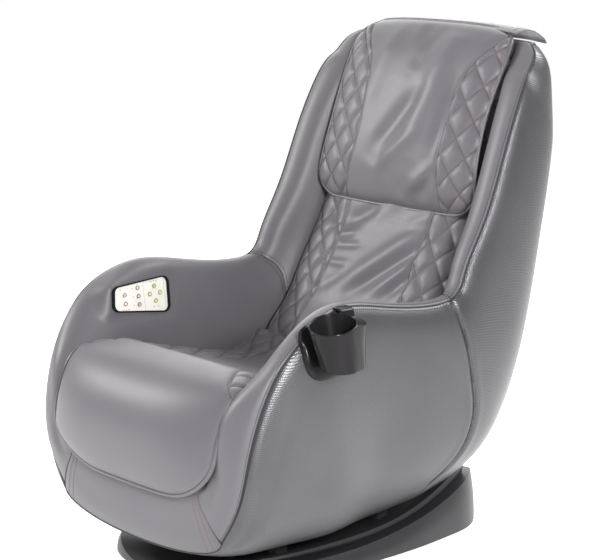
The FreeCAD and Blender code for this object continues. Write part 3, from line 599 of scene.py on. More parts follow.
def even_stations(first, last, count):
    """Station values evenly spaced along the rim."""
    fine = np.linspace(first, last, 2000)
    run = lengths(ROW_AT(fine)[:, :3])
    return np.interp(np.linspace(0, run[-1], count), run, fine)


def side_grid(rows, cols):
    """Outside of the +X side cover from the rim seam to the split, mm; also each row's station."""
    stations = even_stations(0, LAST, rows)
    grid = np.zeros((rows, cols, 3))
    for i, t in enumerate(stations):
        line = shell_section(t)
        peak = int(np.argmax(line[:, 0]))
        tail = line[peak:, 0]
        cut = peak + int(np.argmax(tail < SPLIT_X))
        share = (line[cut - 1, 0] - SPLIT_X) / (line[cut - 1, 0] - line[cut, 0])
        end = line[cut - 1] + share * (line[cut] - line[cut - 1])
        grid[i] = resample(np.vstack([line[:cut], end]), cols)
    return grid, stations


# The seam down the side: station, and share of the way from the rim to the centre line
SIDE_SEAM = [(7.05, 0.0), (7.0, 0.1), (7.0, 0.25), (6.95, 0.4), (6.9, 0.55), (6.7, 0.7), (6.4, 0.8),
             (6.2, 0.86), (6.1, 1.0)]


def seam_on_side(grid, stations):
    """The seam from the dip down the +X side, as points on the grid."""
    line = []
    for t, v in SIDE_SEAM:
        row = int(np.argmin(np.abs(stations - t)))
        _, y, z, cy, cz, _ = ROW_AT(t)
        along = v * math.hypot(cy - y, cz - z)
        depth = np.hypot(grid[row, :, 1] - y, grid[row, :, 2] - z)
        col = int(np.argmin(np.abs(depth - along)))
        line.append(grid[row, col])
    knots = np.arange(len(line))
    return cubic(knots, np.array(line))(np.linspace(0, len(line) - 1, 120))


def side_covers():
    rows, cols = 330, 130
    grid, stations = side_grid(rows, cols)
    out = facing(grid, rows // 2, cols // 3, 0)
    seam = seam_on_side(grid, stations)
    away = distance_to_line(grid[..., 1], grid[..., 2], seam[:, 1:])
    run = lengths(grid)
    lift = 3.0 * (1 - bell(away, 7.0)) - 3.0 - 1.2 * bell(away, 2.6)
    lift += 1.5 * bell(away - 14, 10)
    lift -= 1.6 * bell(run, 3.0)
    front = smooth((4.5 - stations) / 2.5)[:, None] * smooth(stations / 1.2)[:, None]
    lift -= 7.0 * front * bell(run - 62, 34)
    surface = grid + out * lift[..., None]
    # the twill runs another way on the wing than on the arm
    y, z, x = grid[..., 1], grid[..., 2], grid[..., 0]
    split = np.interp(grid[..., 2], seam[::-1, 2], seam[::-1, 1])
    wing = grid[..., 1] > split
    turned = np.where(wing, -13.0, 25.0) * math.pi / 180
    slant = y * np.sin(turned) - z * np.cos(turned) + 0.6 * (350 - x)
    cross = y * np.cos(turned) + z * np.sin(turned)
    weave = np.stack([slant, cross, np.zeros_like(y)], axis=-1) * MM
    seam_out = np.array([out.reshape(-1, 3)[np.argmin(((grid - p) ** 2).sum(-1))] for p in seam[::6]])
    fine = np.linspace(0, len(seam_out) - 1, len(seam))
    seam_out = unit(cubic(np.arange(len(seam_out)), seam_out)(fine))
    beside = np.cross(seam_out, unit(np.gradient(seam, axis=0)))
    for side, name in SIDES:
        mirror = np.array([side, 1, 1])
        cover = make("side_panel_" + name, skin(surface, out, mirror=mirror, flip=side > 0), RIBBED,
                     "textured_leather", name + "_side_cover")
        point_data(cover, "weave", np.concatenate([weave.reshape(-1, 3)] * 2))
        rows_of = []
        for off in (-5.0, 5.0):
            rows_of.append(stitches((seam + beside * off - seam_out * 1.6) * mirror * MM, seam_out * mirror))
        make("side_seam_stitches_" + name, merge(rows_of), THREAD_DARK, "textured_leather")
        line = tube((seam - seam_out * 3.0) * mirror * MM, 1.1 * MM, 8)
        make("side_seam_line_" + name, line, THREAD_DARK, "textured_leather")
    return surface, out


def rear_grid(first, last, rows, cols):
    grid = np.zeros((rows, cols, 3))
    for i, t in enumerate(np.linspace(first, last, rows)):
        x, y, z, cy, cz, full = ROW_AT(t)
        down = np.array([cy - y, cz - z])
        depth = np.linalg.norm(down)
        swell = SHOULDER * min(1.0, depth / FULL_DEPTH)
        wide = np.linspace(-SPLIT_X, SPLIT_X, cols)
        v = (1 - (np.abs(wide) / (x + swell)) ** full) ** (1 / full)
        grid[i] = np.stack([wide, y + down[0] * v, z + down[1] * v], axis=1)
    return grid


def rear_covers():
    """The rear panel, open round the mains inlet, and the belly panel."""
    rows, cols = 170, 80
    grid = rear_grid(REAR_START, LAST, rows, cols)
    out = facing(grid, rows // 2, cols // 2, 1)
    run = lengths(np.swapaxes(grid, 0, 1))[cols // 2]
    inlet = rear_grid(INLET_STATION, INLET_STATION + 0.1, 2, 3)[0, 1]
    centre = run[np.argmin(((grid[:, cols // 2] - inlet) ** 2).sum(-1))]
    along = 0.5 * (run[1:] + run[:-1]) - centre
    wide = 0.5 * (grid[0, 1:, 0] + grid[0, :-1, 0])
    opening = (np.abs(along)[:, None] < 11) & (np.abs(wide + 2)[None] < 44)
    edge = np.minimum(SPLIT_X - np.abs(grid[..., 0]), run[:, None])
    pull = 1.6 * bell(edge, 4.0) - 1.0 * bell(edge - 12, 8.0)
    surface = grid - out * pull[..., None]
    panel = make("rear_panel", skin(surface, out, keep=~opening), RIBBED, "textured_leather", "rear_cover")
    weave = np.stack([grid[..., 2], grid[..., 0], 0 * run[:, None] + 0 * grid[..., 0]], axis=-1) * MM
    point_data(panel, "weave", np.concatenate([weave.reshape(-1, 3)] * 2))
    parts = []
    for side in (-1, 1):
        for inset in (3, 6):
            col = inset if side < 0 else cols - 1 - inset
            parts.append(stitches(surface[:, col] * MM, out[:, col]))
    make("rear_seam_stitches", merge(parts), THREAD_DARK, "textured_leather")

    belly = rear_grid(0, REAR_START, 150, 60)
    out = facing(belly, 60, 30, 2, -1)
    edge = SPLIT_X - np.abs(belly[..., 0])
    surface = belly - out * (1.5 * bell(edge, 4.0))[..., None]
    make("belly_panel", skin(surface, out), SMOOTH, "smooth_leather", "belly_board")


# ---------------------------------------------------------------- band: arms, crests, inner walls, wings
# Seven points inward from the rim seam at the first stations, then the crest as (depth, share) pairs
BAND_FRONT = {
    0: [(259, -438, 138), (250, -444, 152), (240, -449, 168), (228, -453, 188), (214, -455, 210),
        (205, -450, 235), (200, -430, 270)],
    1: [(312, -437, 226), (304, -446, 229), (290, -452, 234), (272, -455, 240), (256, -453, 246),
        (240, -454, 252), (228, -400, 262)],
    2: [(330, -422, 337), (322, -434, 340), (308, -443, 342), (290, -448, 344), (267, -450, 344),
        (252, -437, 343), (247, -340, 336)],
    3: [(339, -375, 459), (333, -386, 459), (320, -396, 454), (303, -405, 446), (280, -408, 436),
        (257, -396, 420), (253, -290, 385)],
}
CREST = [(0, 0.0), (-5, 0.22), (-4, 0.5), (8, 0.8), (32, 1.0)]


WALL_SEAM = 7.05         # station where the seam across the inner wall leaves the rim
WALL_SEAM_TURN = 0.0035  # and how many stations it moves back per millimetre of run


def band_controls():
    """Control points of the band, one row of seven per station, from the rim seam inward."""
    rows = []
    for t in range(LAST + 1):
        if t in BAND_FRONT:
            rows.append(BAND_FRONT[t])
            continue
        x, y, z = STATIONS[t, :3]
        before = ROW_AT(max(t - 0.05, 0))[:3]
        after = ROW_AT(min(t + 0.05, LAST))[:3]
        along = after - before
        inward = np.array([along[2], -along[1]]) / math.hypot(along[1], along[2])
        row = []
        for depth, share in CREST:
            row.append((x - share * (x - PAD_TOP[t]), y + inward[0] * depth, z + inward[1] * depth))
        ey, ez = WALL_END[t]
        _, hy, hz = row[-1]
        row.append((PAD_FACE[t], 0.5 * (hy + ey), 0.5 * (hz + ez)))
        row.append((PAD_FACE[t], ey, ez))
        rows.append(row)
    return np.array(rows, float)


def band_grid(rows, cols):
    controls = band_controls()
    stations = even_stations(0, LAST, rows)
    columns = np.stack([cubic(np.arange(LAST + 1), controls[:, j])(stations) for j in range(7)], axis=1)
    return np.stack([spline(line, 160, cols) for line in columns]), stations


def seat_panel(surface):
    """The wall's skin led flat round the control panel and under its bezel (as +X coordinates)."""
    y, z = surface[..., 1], surface[..., 2]
    corners = np.array(PANEL_CORNERS + PANEL_CORNERS[:1], float)
    away = distance_to_line(y, z, corners)
    inside = np.ones(y.shape, bool)
    for (ay, az), (by, bz) in zip(corners[:-1], corners[1:]):
        inside &= (by - ay) * (z - az) - (bz - az) * (y - ay) < 0
    away = np.where(inside, 0.0, away)
    plane = -PANEL_ORIGIN[0] + PANEL_SLOPE * (z - PANEL_ORIGIN[1])
    share = 1 - smooth(away / 34.0)
    share = np.where(surface[..., 0] < 300, share, share * smooth((325 - surface[..., 0]) / 25))
    led = surface.copy()
    led[..., 0] += share * (plane - surface[..., 0])
    return led


def bands(side_surface, side_out):
    rows, cols = 330, 70
    grid, stations = band_grid(rows, cols)
    out = facing(grid, rows // 3, 5, 2)
    run = lengths(grid)
    # seam across the inner wall from the dip
    dip = int(np.argmin(np.abs(stations - WALL_SEAM)))
    away = np.abs(stations[:, None] - WALL_SEAM - WALL_SEAM_TURN * run) * 60

    def seam_path(values, offset):
        """Values along the seam across the wall, moved by an offset in stations."""
        wanted = WALL_SEAM + WALL_SEAM_TURN * run[dip] + offset
        at = np.interp(wanted, stations, np.arange(rows))
        low = np.minimum(at.astype(int), rows - 2)
        share = (at - low)[:, None]
        column = np.arange(cols)
        return (1 - share) * values[low, column] + share * values[low + 1, column]

    lift = -1.6 * bell(run, 3.0) - 1.8 * bell(away, 2.6) - 1.5 * bell(away, 8.0)
    surface = grid + out * lift[..., None]
    rim_out = unit(out[:, 0] + side_out[:, 0])
    col = int(np.argmin(np.abs(run[rows // 3] - STITCH)))
    for side, name in SIDES:
        mirror = np.array([side, 1, 1])
        shown = surface if side > 0 else seat_panel(surface)
        band = make("arm_band_" + name, skin(shown, out, mirror=mirror, flip=side < 0), SMOOTH,
                    "smooth_leather", name + "_arm_pad")
        # lines and stitches of the rim seam, then of the seam across the wall
        sewn = {
            "rim_seam_": tube((grid[:, 0] - rim_out * 0.8) * mirror * MM, 1.5 * MM, 8),
            "rim_stitches_": merge([stitches(surface[:, col] * mirror * MM, out[:, col] * mirror),
                                    stitches(side_surface[:, 2] * mirror * MM, side_out[:, 2] * mirror)]),
            "wall_seam_line_": tube(seam_path(surface, 0.0) * mirror * MM, 1.0 * MM, 8),
            "wall_seam_stitches_": merge([stitches(seam_path(surface, offset) * mirror * MM,
                                                   unit(seam_path(out, offset)) * mirror)
                                          for offset in (-0.08, 0.08)]),
        }
        for kind, shape in sewn.items():
            make(kind + name, shape, THREAD_DARK, "smooth_leather")


APRON_HALF = 259
APRON_COLUMNS = {
    0: [(0, -443, 88), (0, -451, 104), (0, -456, 122), (0, -458, 145), (0, -457, 175), (0, -452, 215),
        (0, -440, 270)],
    130: [(130, -434, 93), (130, -443, 108), (130, -450, 125), (130, -454, 148), (128, -455, 180),
          (126, -450, 217), (124, -438, 268)],
}


def apron():
    """Front panel between the two mitre seams."""
    knots = (-APRON_HALF, -130, 0, 130, APRON_HALF)
    columns = []
    for x in knots:
        source = BAND_FRONT[0] if abs(x) == APRON_HALF else APRON_COLUMNS[abs(x)]
        columns.append([(px * (-1 if x < 0 else 1), y, z) for px, y, z in source])
    columns = np.array(columns, float)
    cols, rows = 120, 50
    span = np.linspace(-APRON_HALF, APRON_HALF, cols)
    across = np.stack([cubic(knots, columns[:, j])(span) for j in range(7)], axis=1)
    hem = shell_section(0.0)[::-1]
    hem = np.stack([span, np.interp(np.abs(span), hem[:, 0], hem[:, 1]),
                    np.interp(np.abs(span), hem[:, 0], hem[:, 2])], axis=1)
    move = hem - across[:, 0]
    for j, share in enumerate((1.0, 0.7, 0.35)):
        across[:, j] += share * move
    grid = np.stack([spline(line, 120, rows) for line in across])
    out = facing(grid, cols // 2, 10, 1, -1)
    edge = np.minimum(np.arange(cols), np.arange(cols)[::-1])[:, None] * 2.0 * APRON_HALF / cols
    low = lengths(grid)
    surface = grid - out * (1.8 * bell(edge, 3.0) + 1.5 * bell(low, 3.0))[..., None]
    piece = make("front_panel", skin(surface, out), SMOOTH, "smooth_leather", "front_apron")
    parts = [stitches(surface[col, :36] * MM, out[col, :36]) for col in (4, 8, -5, -9)]
    lines = [tube(surface[col] * MM, 1.0 * MM, 8) for col in (0, -1)]
    lines.append(tube((surface[:, 0] + out[:, 0] * 1.2) * MM, 1.3 * MM, 8))
    make("front_mitre_stitches", merge(parts), THREAD_MAUVE, "smooth_leather")
    make("front_seam_lines", merge(lines), THREAD_DARK, "smooth_leather")


# ---------------------------------------------------------------- pads
PUFF_CAP = 8.0           # how far the cloth may carry a point, mm
CLOTH_FRAMES = 20
CLOTH = {
    "vertex_group_mass": "held", "use_pressure": True, "uniform_pressure_force": 2.5, "quality": 6,
    "mass": 0.3, "tension_stiffness": 12, "compression_stiffness": 12, "shear_stiffness": 4,
    "bending_stiffness": 0.4,
}


class Pad:
    """A soft pad: a profile in the middle plane swept across, crowned, with an outline and sewn detail."""

    def __init__(self, name, profile, width, sag, corner_low, corner_high, thickness, phase, seam, folds):
        self.name = name
        self.lean = 0.0      # sideways shift of the smooth centre between the quilted strips
        points = np.array(profile, float)
        run = lengths(points)
        dense = cubic(run, points)(np.linspace(0, run[-1], 600))
        run = lengths(dense)
        self.length = run[-1]
        self.place = cubic(run[::20], dense[::20])
        self.width = cubic(*zip(*width))
        self.sag = cubic(*zip(*sag))
        self.corner_low = corner_low
        self.corner_high = corner_high
        self.thickness = thickness
        self.phase = phase
        self.seam = cubic(*zip(*seam))
        self.folds = folds

    def corner(self, x, half, corner):
        """How far the outline's end has moved in at x: an ellipse of the corner's two radii."""
        across, along = corner
        inside = np.clip((np.abs(x) - (half - across)) / across, 0, 1)
        return along * (1 - np.sqrt(np.maximum(0, 1 - inside ** 2)))

    def domain(self, rows, cols):
        """Grid of (x, s) over the pad's outline."""
        u = np.linspace(-1, 1, cols)
        u = 0.35 * u + 0.65 * np.sin(u * math.pi / 2)
        v = np.linspace(0, 1, rows)
        v = 0.6 * v + 0.4 * (1 - np.cos(v * math.pi)) / 2
        s = v[:, None] * self.length + 0 * u[None]
        half = self.width(s)
        x = u[None] * half
        low = self.corner(x[0], half[0], self.corner_low)
        high = self.corner(x[-1], half[-1], self.corner_high)
        s = s + low[None] * (1 - v[:, None]) ** 3 - high[None] * v[:, None] ** 3
        half = self.width(s)
        return u[None] * half, s

    def base(self, x, s):
        """Points and outward directions of the uncrowned surface, mm."""
        here = self.place(s)
        ahead = self.place(s + 1.0) - self.place(s - 1.0)
        ahead = unit(ahead)
        out = np.stack([-ahead[..., 1], ahead[..., 0]], axis=-1)
        share = np.abs(x) / self.width(s)
        drop = self.sag(s) * share ** 3
        y = here[..., 0] - out[..., 0] * drop
        z = here[..., 1] - out[..., 1] * drop
        outward = np.stack([0 * x, out[..., 0], out[..., 1]], axis=-1)
        return np.stack([x, y, z], axis=-1), outward

    def edge_distance(self, x, s):
        half = self.width(s)
        side = half - np.abs(x)
        low = s - self.corner(x, half, self.corner_low)
        high = self.length - s - self.corner(x, half, self.corner_high)
        return np.maximum(0, np.minimum(side, np.minimum(low, high)))

    def diamonds(self, x, s):
        px, ps = self.phase
        a = (np.abs(x - self.lean) - px) / QUILT_WIDE
        b = (s - ps) / QUILT_HIGH
        return a + b, a - b

    def detail(self, x, s):
        """Height of the sewn detail and folds over the crowned surface, mm."""
        one, two = self.diamonds(x, s)
        d1 = np.abs(one - np.round(one)) * QUILT_SPAN
        d2 = np.abs(two - np.round(two)) * QUILT_SPAN
        from_seam = np.abs(x - self.lean) - self.seam(s)
        strip = smooth(from_seam / 4.0)
        puff = 6.5 * (1 - np.exp(-d1 / 6.0)) * (1 - np.exp(-d2 / 6.0)) - 4.0
        lift = strip * puff - 2.6 * bell(from_seam, 4.0)
        centre = 1 - strip
        for x0, s0, x1, s1, wide, high in self.folds:
            long = math.hypot(x1 - x0, s1 - s0)
            tx, ts = (x1 - x0) / long, (s1 - s0) / long
            along = (x - x0) * tx + (s - s0) * ts
            off = -(x - x0) * ts + (s - s0) * tx
            past = np.clip(-along, 0, None) ** 2 + np.clip(along - long, 0, None) ** 2
            fade = np.exp(-past / 200)
            ramp = smooth(along / (0.3 * long)) * smooth((long - along) / (0.3 * long)) * 0.7 + 0.3
            lift = lift + centre * high * bell(off, wide) * fade * ramp
        return lift

    def inflate(self):
        """How far a coarse grid of the pad moves when it is blown up as cloth by a little pressure, mm."""
        rows, cols = 27, 25
        x, s = self.domain(rows, cols)
        top, out = self.base(x, s)
        under = top - out * self.thickness
        verts, faces = closed_grid(top * MM, under * MM)
        cloth = add_mesh(self.name + "_cloth", verts, faces, SMOOTH)
        group = cloth.vertex_groups.new(name="held")
        held = border(rows, cols) + list(range(rows * cols, 2 * rows * cols))
        group.add(held, 1.0, "REPLACE")
        modifier = cloth.modifiers.new("Cloth", "CLOTH")
        settings = modifier.settings
        for key, value in CLOTH.items():
            setattr(settings, key, value)
        settings.effector_weights.gravity = 0.0
        modifier.point_cache.frame_start = 1
        modifier.point_cache.frame_end = CLOTH_FRAMES
        scene = bpy.context.scene
        for step in range(1, CLOTH_FRAMES + 1):
            scene.frame_set(step)
        solved = cloth.evaluated_get(bpy.context.evaluated_depsgraph_get()).to_mesh()
        points = np.zeros(len(solved.vertices) * 3)
        solved.vertices.foreach_get("co", points)
        points = points.reshape(-1, 3)[:rows * cols].reshape(rows, cols, 3) / MM
        move = points - top
        size = np.linalg.norm(move, axis=-1, keepdims=True)
        move = move * np.minimum(1.0, PUFF_CAP / np.maximum(size, 1e-6))
        bpy.data.objects.remove(cloth, do_unlink=True)
        scene.frame_set(1)
        return move

    def build(self, rows, cols, crown, stands_for, body="root"):
        """The pad's piece: crowned, blown up, with its sewn detail above and a plain underside."""
        x, s = self.domain(rows, cols)
        points, outward = self.base(x, s)
        edge = self.edge_distance(x, s)
        rise = crown * (1 - np.exp(-edge / 55.0)) - 7.0 * np.exp(-edge / 7.0)
        points = points + outward * rise[..., None]
        puff = refine(self.inflate(), rows)
        puff = refine(puff.transpose(1, 0, 2), cols).transpose(1, 0, 2)
        points = points + puff * smooth(edge / 45.0)[..., None]
        normals = grid_normals(points)
        if (normals * outward).sum() < 0:
            normals = -normals
        lift = self.detail(x, s)
        fade = smooth(edge / 6.0)
        points = points + normals * (lift * fade)[..., None]
        base_points, _ = self.base(x, s)
        pull = 1 - 0.03 * smooth(1 - edge / 25.0)
        under = base_points - outward * self.thickness
        under[..., 0] *= pull
        piece = make(self.name, closed_grid(points * MM, under * MM), QUILTED, "smooth_leather", stands_for,
                     body=body)
        one, two = self.diamonds(x, s)
        data = np.stack([one, two, np.abs(x - self.lean) - self.seam(s)], axis=-1).reshape(-1, 3)
        data_under = data.copy()
        data_under[:, 2] = -50.0
        point_data(piece, "quilt", np.concatenate([data, data_under]))
        self.points = points
        return piece

    def rim_path(self, skip_top=False, count=420):
        """The outline, evenly spaced, from the final surface."""
        rows, cols = self.points.shape[:2]
        flat = self.points.reshape(-1, 3)
        if skip_top:
            order = [i * cols for i in range(rows - 1, 0, -1)] + list(range(cols))
            order += [i * cols + cols - 1 for i in range(1, rows)]
            return resample(flat[order], count), False
        order = border(rows, cols)
        path = resample(flat[order + order[:1]], count + 1)[:-1]
        return path, True


def add_piping(pad, name, radius, body="root", skip_top=False, shift=0.0):
    """Welt sewn round a pad's edge, moved out from the pad's middle by shift."""
    path, closed = pad.rim_path(skip_top)
    centre = path.mean(axis=0)
    kernel = np.ones(5) / 5
    soft = path.copy()
    for i in range(3):
        if closed:
            padded = np.concatenate([path[-2:, i], path[:, i], path[:2, i]])
            soft[:, i] = np.convolve(padded, kernel, "valid")
        else:
            soft[2:-2, i] = np.convolve(path[:, i], kernel, "valid")
    soft = soft + unit(soft - centre) * shift
    make(name, tube(soft * MM, radius * MM, 12, closed), PIPING, "smooth_leather", body=body)


def pads():
    seat = Pad(
        "seat_cushion",
        [(-466, 205), (-486, 255), (-490, 310), (-478, 368), (-446, 418), (-400, 444), (-343, 439),
         (-284, 416), (-224, 391), (-160, 373), (-100, 359), (-40, 352), (20, 358), (72, 378), (104, 398)],
        [(0, 254), (120, 258), (300, 258), (500, 255), (850, 250)],
        [(0, 22), (60, 26), (200, 30), (280, 14), (360, 2), (420, -12), (500, -20), (600, -20), (700, -6),
         (830, -4)],
        (150, 112), (10, 10), 40.0, (198, 330),
        [(0, 420), (200, 330), (262, 262), (280, 235), (310, 210), (360, 178), (430, 154), (540, 142),
         (700, 137), (840, 135)],
        [])
    seat.build(190, 130, 9.0, "seat_pad")
    add_piping(seat, "seat_piping", 5.0, skip_top=True, shift=2.0)

    back = Pad(
        "back_cushion",
        [(84, 372), (104, 408), (150, 456), (206, 545), (266, 652), (311, 762), (348, 880), (376, 985),
         (396, 1026)],
        [(0, 226), (120, 232), (330, 232), (500, 230), (720, 226)],
        [(0, 6), (200, 6), (400, 8), (720, 10)],
        (12, 12), (30, 30), 26.0, (210, 146),
        [(0, 140), (110, 137), (200, 127), (260, 124), (330, 130), (420, 133), (720, 134)],
        [(-80, 150, 144, 350, 22, 7), (-29, 152, 144, 300, 15, -6), (28, 152, 148, 268, 16, 6),
         (80, 160, 150, 252, 12, -5), (120, 168, 152, 196, 10, 4), (-130, 306, -14, 372, 18, -7),
         (-128, 258, -41, 268, 9, -4), (-128, 280, -66, 296, 9, 4), (-128, 216, -60, 220, 9, 3.5),
         (60, 330, 150, 372, 16, 4), (-60, 330, 60, 420, 26, 5), (-150, 140, -60, 200, 14, -3)])
    back.build(190, 120, 7.0, "back_pad")
    add_piping(back, "back_piping", 3.4)

    pillow = Pad(
        "neck_pillow",
        [(262, 687), (258, 745), (284, 830), (316, 915), (345, 990), (372, 1046), (396, 1075), (418, 1088)],
        [(0, 238), (60, 240), (100, 236), (150, 231), (250, 229), (320, 232), (380, 230), (445, 214)],
        [(0, 12), (60, 15), (140, 8), (250, 5), (330, 10), (445, 16)],
        (60, 52), (44, 34), 20.0, (198, 50),
        [(0, 146), (60, 138), (130, 128), (200, 128), (270, 134), (340, 158), (405, 198), (445, 206)],
        [(40, 120, 96, 390, 30, 8), (-60, 110, 50, 275, 24, -9), (-112, 200, -87, 400, 30, 5),
         (-32, 104, 56, 26, 18, -6), (60, 46, 150, 108, 16, 6), (90, 20, 148, 118, 15, -6),
         (-40, 80, 62, 170, 16, 5), (118, 120, 140, 300, 18, -6), (0, 300, 40, 410, 20, -4)])
    pillow.lean = 10.0
    pillow.build(130, 130, 8.0, "head_pillow", body="pillow")
    add_piping(pillow, "pillow_piping", 3.8, body="pillow", shift=1.0)


# ---------------------------------------------------------------- crown and strap
def crown_pad():
    """Padded top of the shell between the wings."""
    sections = [(414, 985), (416, 1020), (428, 1046), (452, 1056), (478, 1050), (494, 1030), (499, 996)]
    cols, rows = 70, 40
    grid = np.zeros((cols, rows, 3))
    for i, x in enumerate(np.linspace(-252, 252, cols)):
        fall = 3.0 * (abs(x) / 252.0) ** 2.5
        tuck = 44.0 * max(0.0, (abs(x) - 130.0) / 126.0) ** 2
        line = np.array([(y - tuck * max(0.0, (y - 440.0) / 59.0), z - fall) for y, z in sections], float)
        grid[i] = np.column_stack([np.full(rows, x), spline(line, 100, rows)])
    out = facing(grid, cols // 2, rows // 2, 2)
    piece = make("crown_cushion", skin(grid, out, 5.0), SMOOTH, "smooth_leather", "top_pad")


def pillow_strap():
    """Leather flap that carries the pillow over the crown and hangs down the back."""
    middle = [(412, 1080), (428, 1086), (448, 1087), (472, 1082), (492, 1072), (505, 1063), (511, 1054)]
    cols, rows = 90, 50
    grid = np.zeros((cols, rows, 3))
    for i, x in enumerate(np.linspace(-226, 230, cols)):
        share = abs(x) / 230.0
        fall = (9.0 if x > 0 else 20.0) * share ** 3
        curl = 2.0 * math.sin(x / 23.0) + 1.2 * math.sin(x / 9.0 + 1.0)
        line = np.array([(y, z - fall) for y, z in middle], float)
        curve = spline(line, 120, rows)
        curve[:, 0] += curl * np.linspace(0, 1, rows) ** 2
        grid[i] = np.column_stack([np.full(rows, x), curve])
    out = facing(grid, cols // 2, rows // 3, 2)
    piece = make("pillow_flap", skin(grid, out, 2.0), SMOOTH, "smooth_leather", "pillow_strap")
    hem = []
    for path in (grid[3:-3, rows - 3], grid[3, 3:-3], grid[-4, 3:-3]):
        lift = np.tile([0.0, 0.3, 1.0], (len(path), 1))
        hem.append(stitches(path * MM, lift))
    make("pillow_flap_hem_stitches", merge(hem), THREAD_DARK, "smooth_leather")


# ---------------------------------------------------------------- cup holder
CUP_BASE = 485.0
CUP_TOP = 575.0
CUP_MOUTH = (411.0, -287.0, 47.0)
CUP_FOOT = (423.0, -279.0, 36.0)
CUP_WALL = 2.5
WEB_OUT = 14.0
WEB_CORNER = (444.0, -224.0)
WEB_BACK = -202.0
WEB_FACE = 364.0


def cup_plan(circle, count):
    """Closed plan outline of the holder at one height, evenly spaced, starting behind the well."""
    x, y, radius = circle
    turn = np.radians(np.linspace(WEB_OUT - 150, WEB_OUT, 60))
    arc = np.stack([x + radius * np.cos(turn), y + radius * np.sin(turn)], axis=1)
    corner = np.array(WEB_CORNER)
    back = np.array([WEB_FACE, WEB_BACK])
    before = corner + unit(arc[-1] - corner) * 20.0
    after = corner + unit(back - corner) * 20.0
    bend = []
    for share in np.linspace(0, 1, 12):
        bend.append((1 - share) ** 2 * before + 2 * share * (1 - share) * corner + share ** 2 * after)
    close = np.array([WEB_FACE, arc[0, 1] + 22.0])
    loop = np.vstack([arc, bend, [back], [close], arc[:1]])
    return resample(loop, count + 1)[:-1]


def cup_rim(x, y):
    """Height of the rim: highest beside the chair, falling over the web."""
    beyond = np.maximum(0, np.hypot(x - CUP_MOUTH[0], y - CUP_MOUTH[1]) - CUP_MOUTH[2])
    return CUP_TOP - 0.13 * (x - CUP_MOUTH[0]) + 0.235 * (y - CUP_MOUTH[1]) - 0.62 * beyond


def cup_holder():
    count = 160
    foot = cup_plan(CUP_FOOT, count)
    mouth = cup_plan(CUP_MOUTH, count)
    top = cup_rim(mouth[:, 0], mouth[:, 1])
    rows = []

    def add_row(share, inset, drop):
        plan = foot + (mouth - foot) * share
        centre = plan.mean(axis=0)
        plan = plan - unit(plan - centre) * inset
        height = CUP_BASE + (top - CUP_BASE) * share - drop
        rows.append(np.column_stack([plan, height]))

    add_row(0.0, 3.0, 0.0)
    add_row(0.0, 0.8, -0.8)
    for share in np.linspace(0.03, 0.97, 26):
        add_row(share, 0.0, 0.0)
    add_row(1.0, 0.0, 1.5)
    add_row(1.0, 0.4, 0.4)
    add_row(1.0, 1.4, 0.0)
    edge = rows[-1]
    angle = np.arctan2(mouth[:, 1] - CUP_MOUTH[1], mouth[:, 0] - CUP_MOUTH[0])
    bore = CUP_MOUTH[2] - CUP_WALL
    ring = np.stack([CUP_MOUTH[0] + bore * np.cos(angle), CUP_MOUTH[1] + bore * np.sin(angle)], axis=1)
    lip = np.column_stack([ring, cup_rim(ring[:, 0], ring[:, 1])])
    for share in (0.25, 0.5, 0.75, 0.92):
        row = edge + (lip - edge) * share
        row[:, 2] -= 1.2 * math.sin(share * math.pi)
        rows.append(row)
    rows.append(lip)
    low = CUP_FOOT[2] - CUP_WALL
    base = np.column_stack([CUP_FOOT[0] + low * np.cos(angle), CUP_FOOT[1] + low * np.sin(angle),
                            np.full(count, CUP_BASE + 3.0)])
    for share in np.linspace(0.03, 1.0, 20):
        rows.append(lip + (base - lip) * share)
    verts = np.concatenate(rows + [[(CUP_FOOT[0], CUP_FOOT[1], CUP_BASE + 3.0)],
                                   [(CUP_FOOT[0], CUP_FOOT[1], CUP_BASE)]])
    faces = ring_faces(len(rows), count)
    last = (len(rows) - 1) * count
    middle = len(rows) * count
    for j in range(count):
        k = (j + 1) % count
        faces.append((last + j, last + k, middle))
        faces.append((k, j, middle + 1))
    make("cup_body", (verts * MM, faces), GLOSS, "gloss_black", "cup_holder")


def cover_side(y, z):
    """Outer half width of the side cover beside the cup holder, continued straight up above the rim."""
    near = np.abs(SIDE[..., 1] - y) < 4
    near &= SIDE[..., 2] > 380
    points = SIDE[near]
    points = points[np.argsort(points[:, 2])]
    return np.interp(z, points[:, 2], points[:, 0])


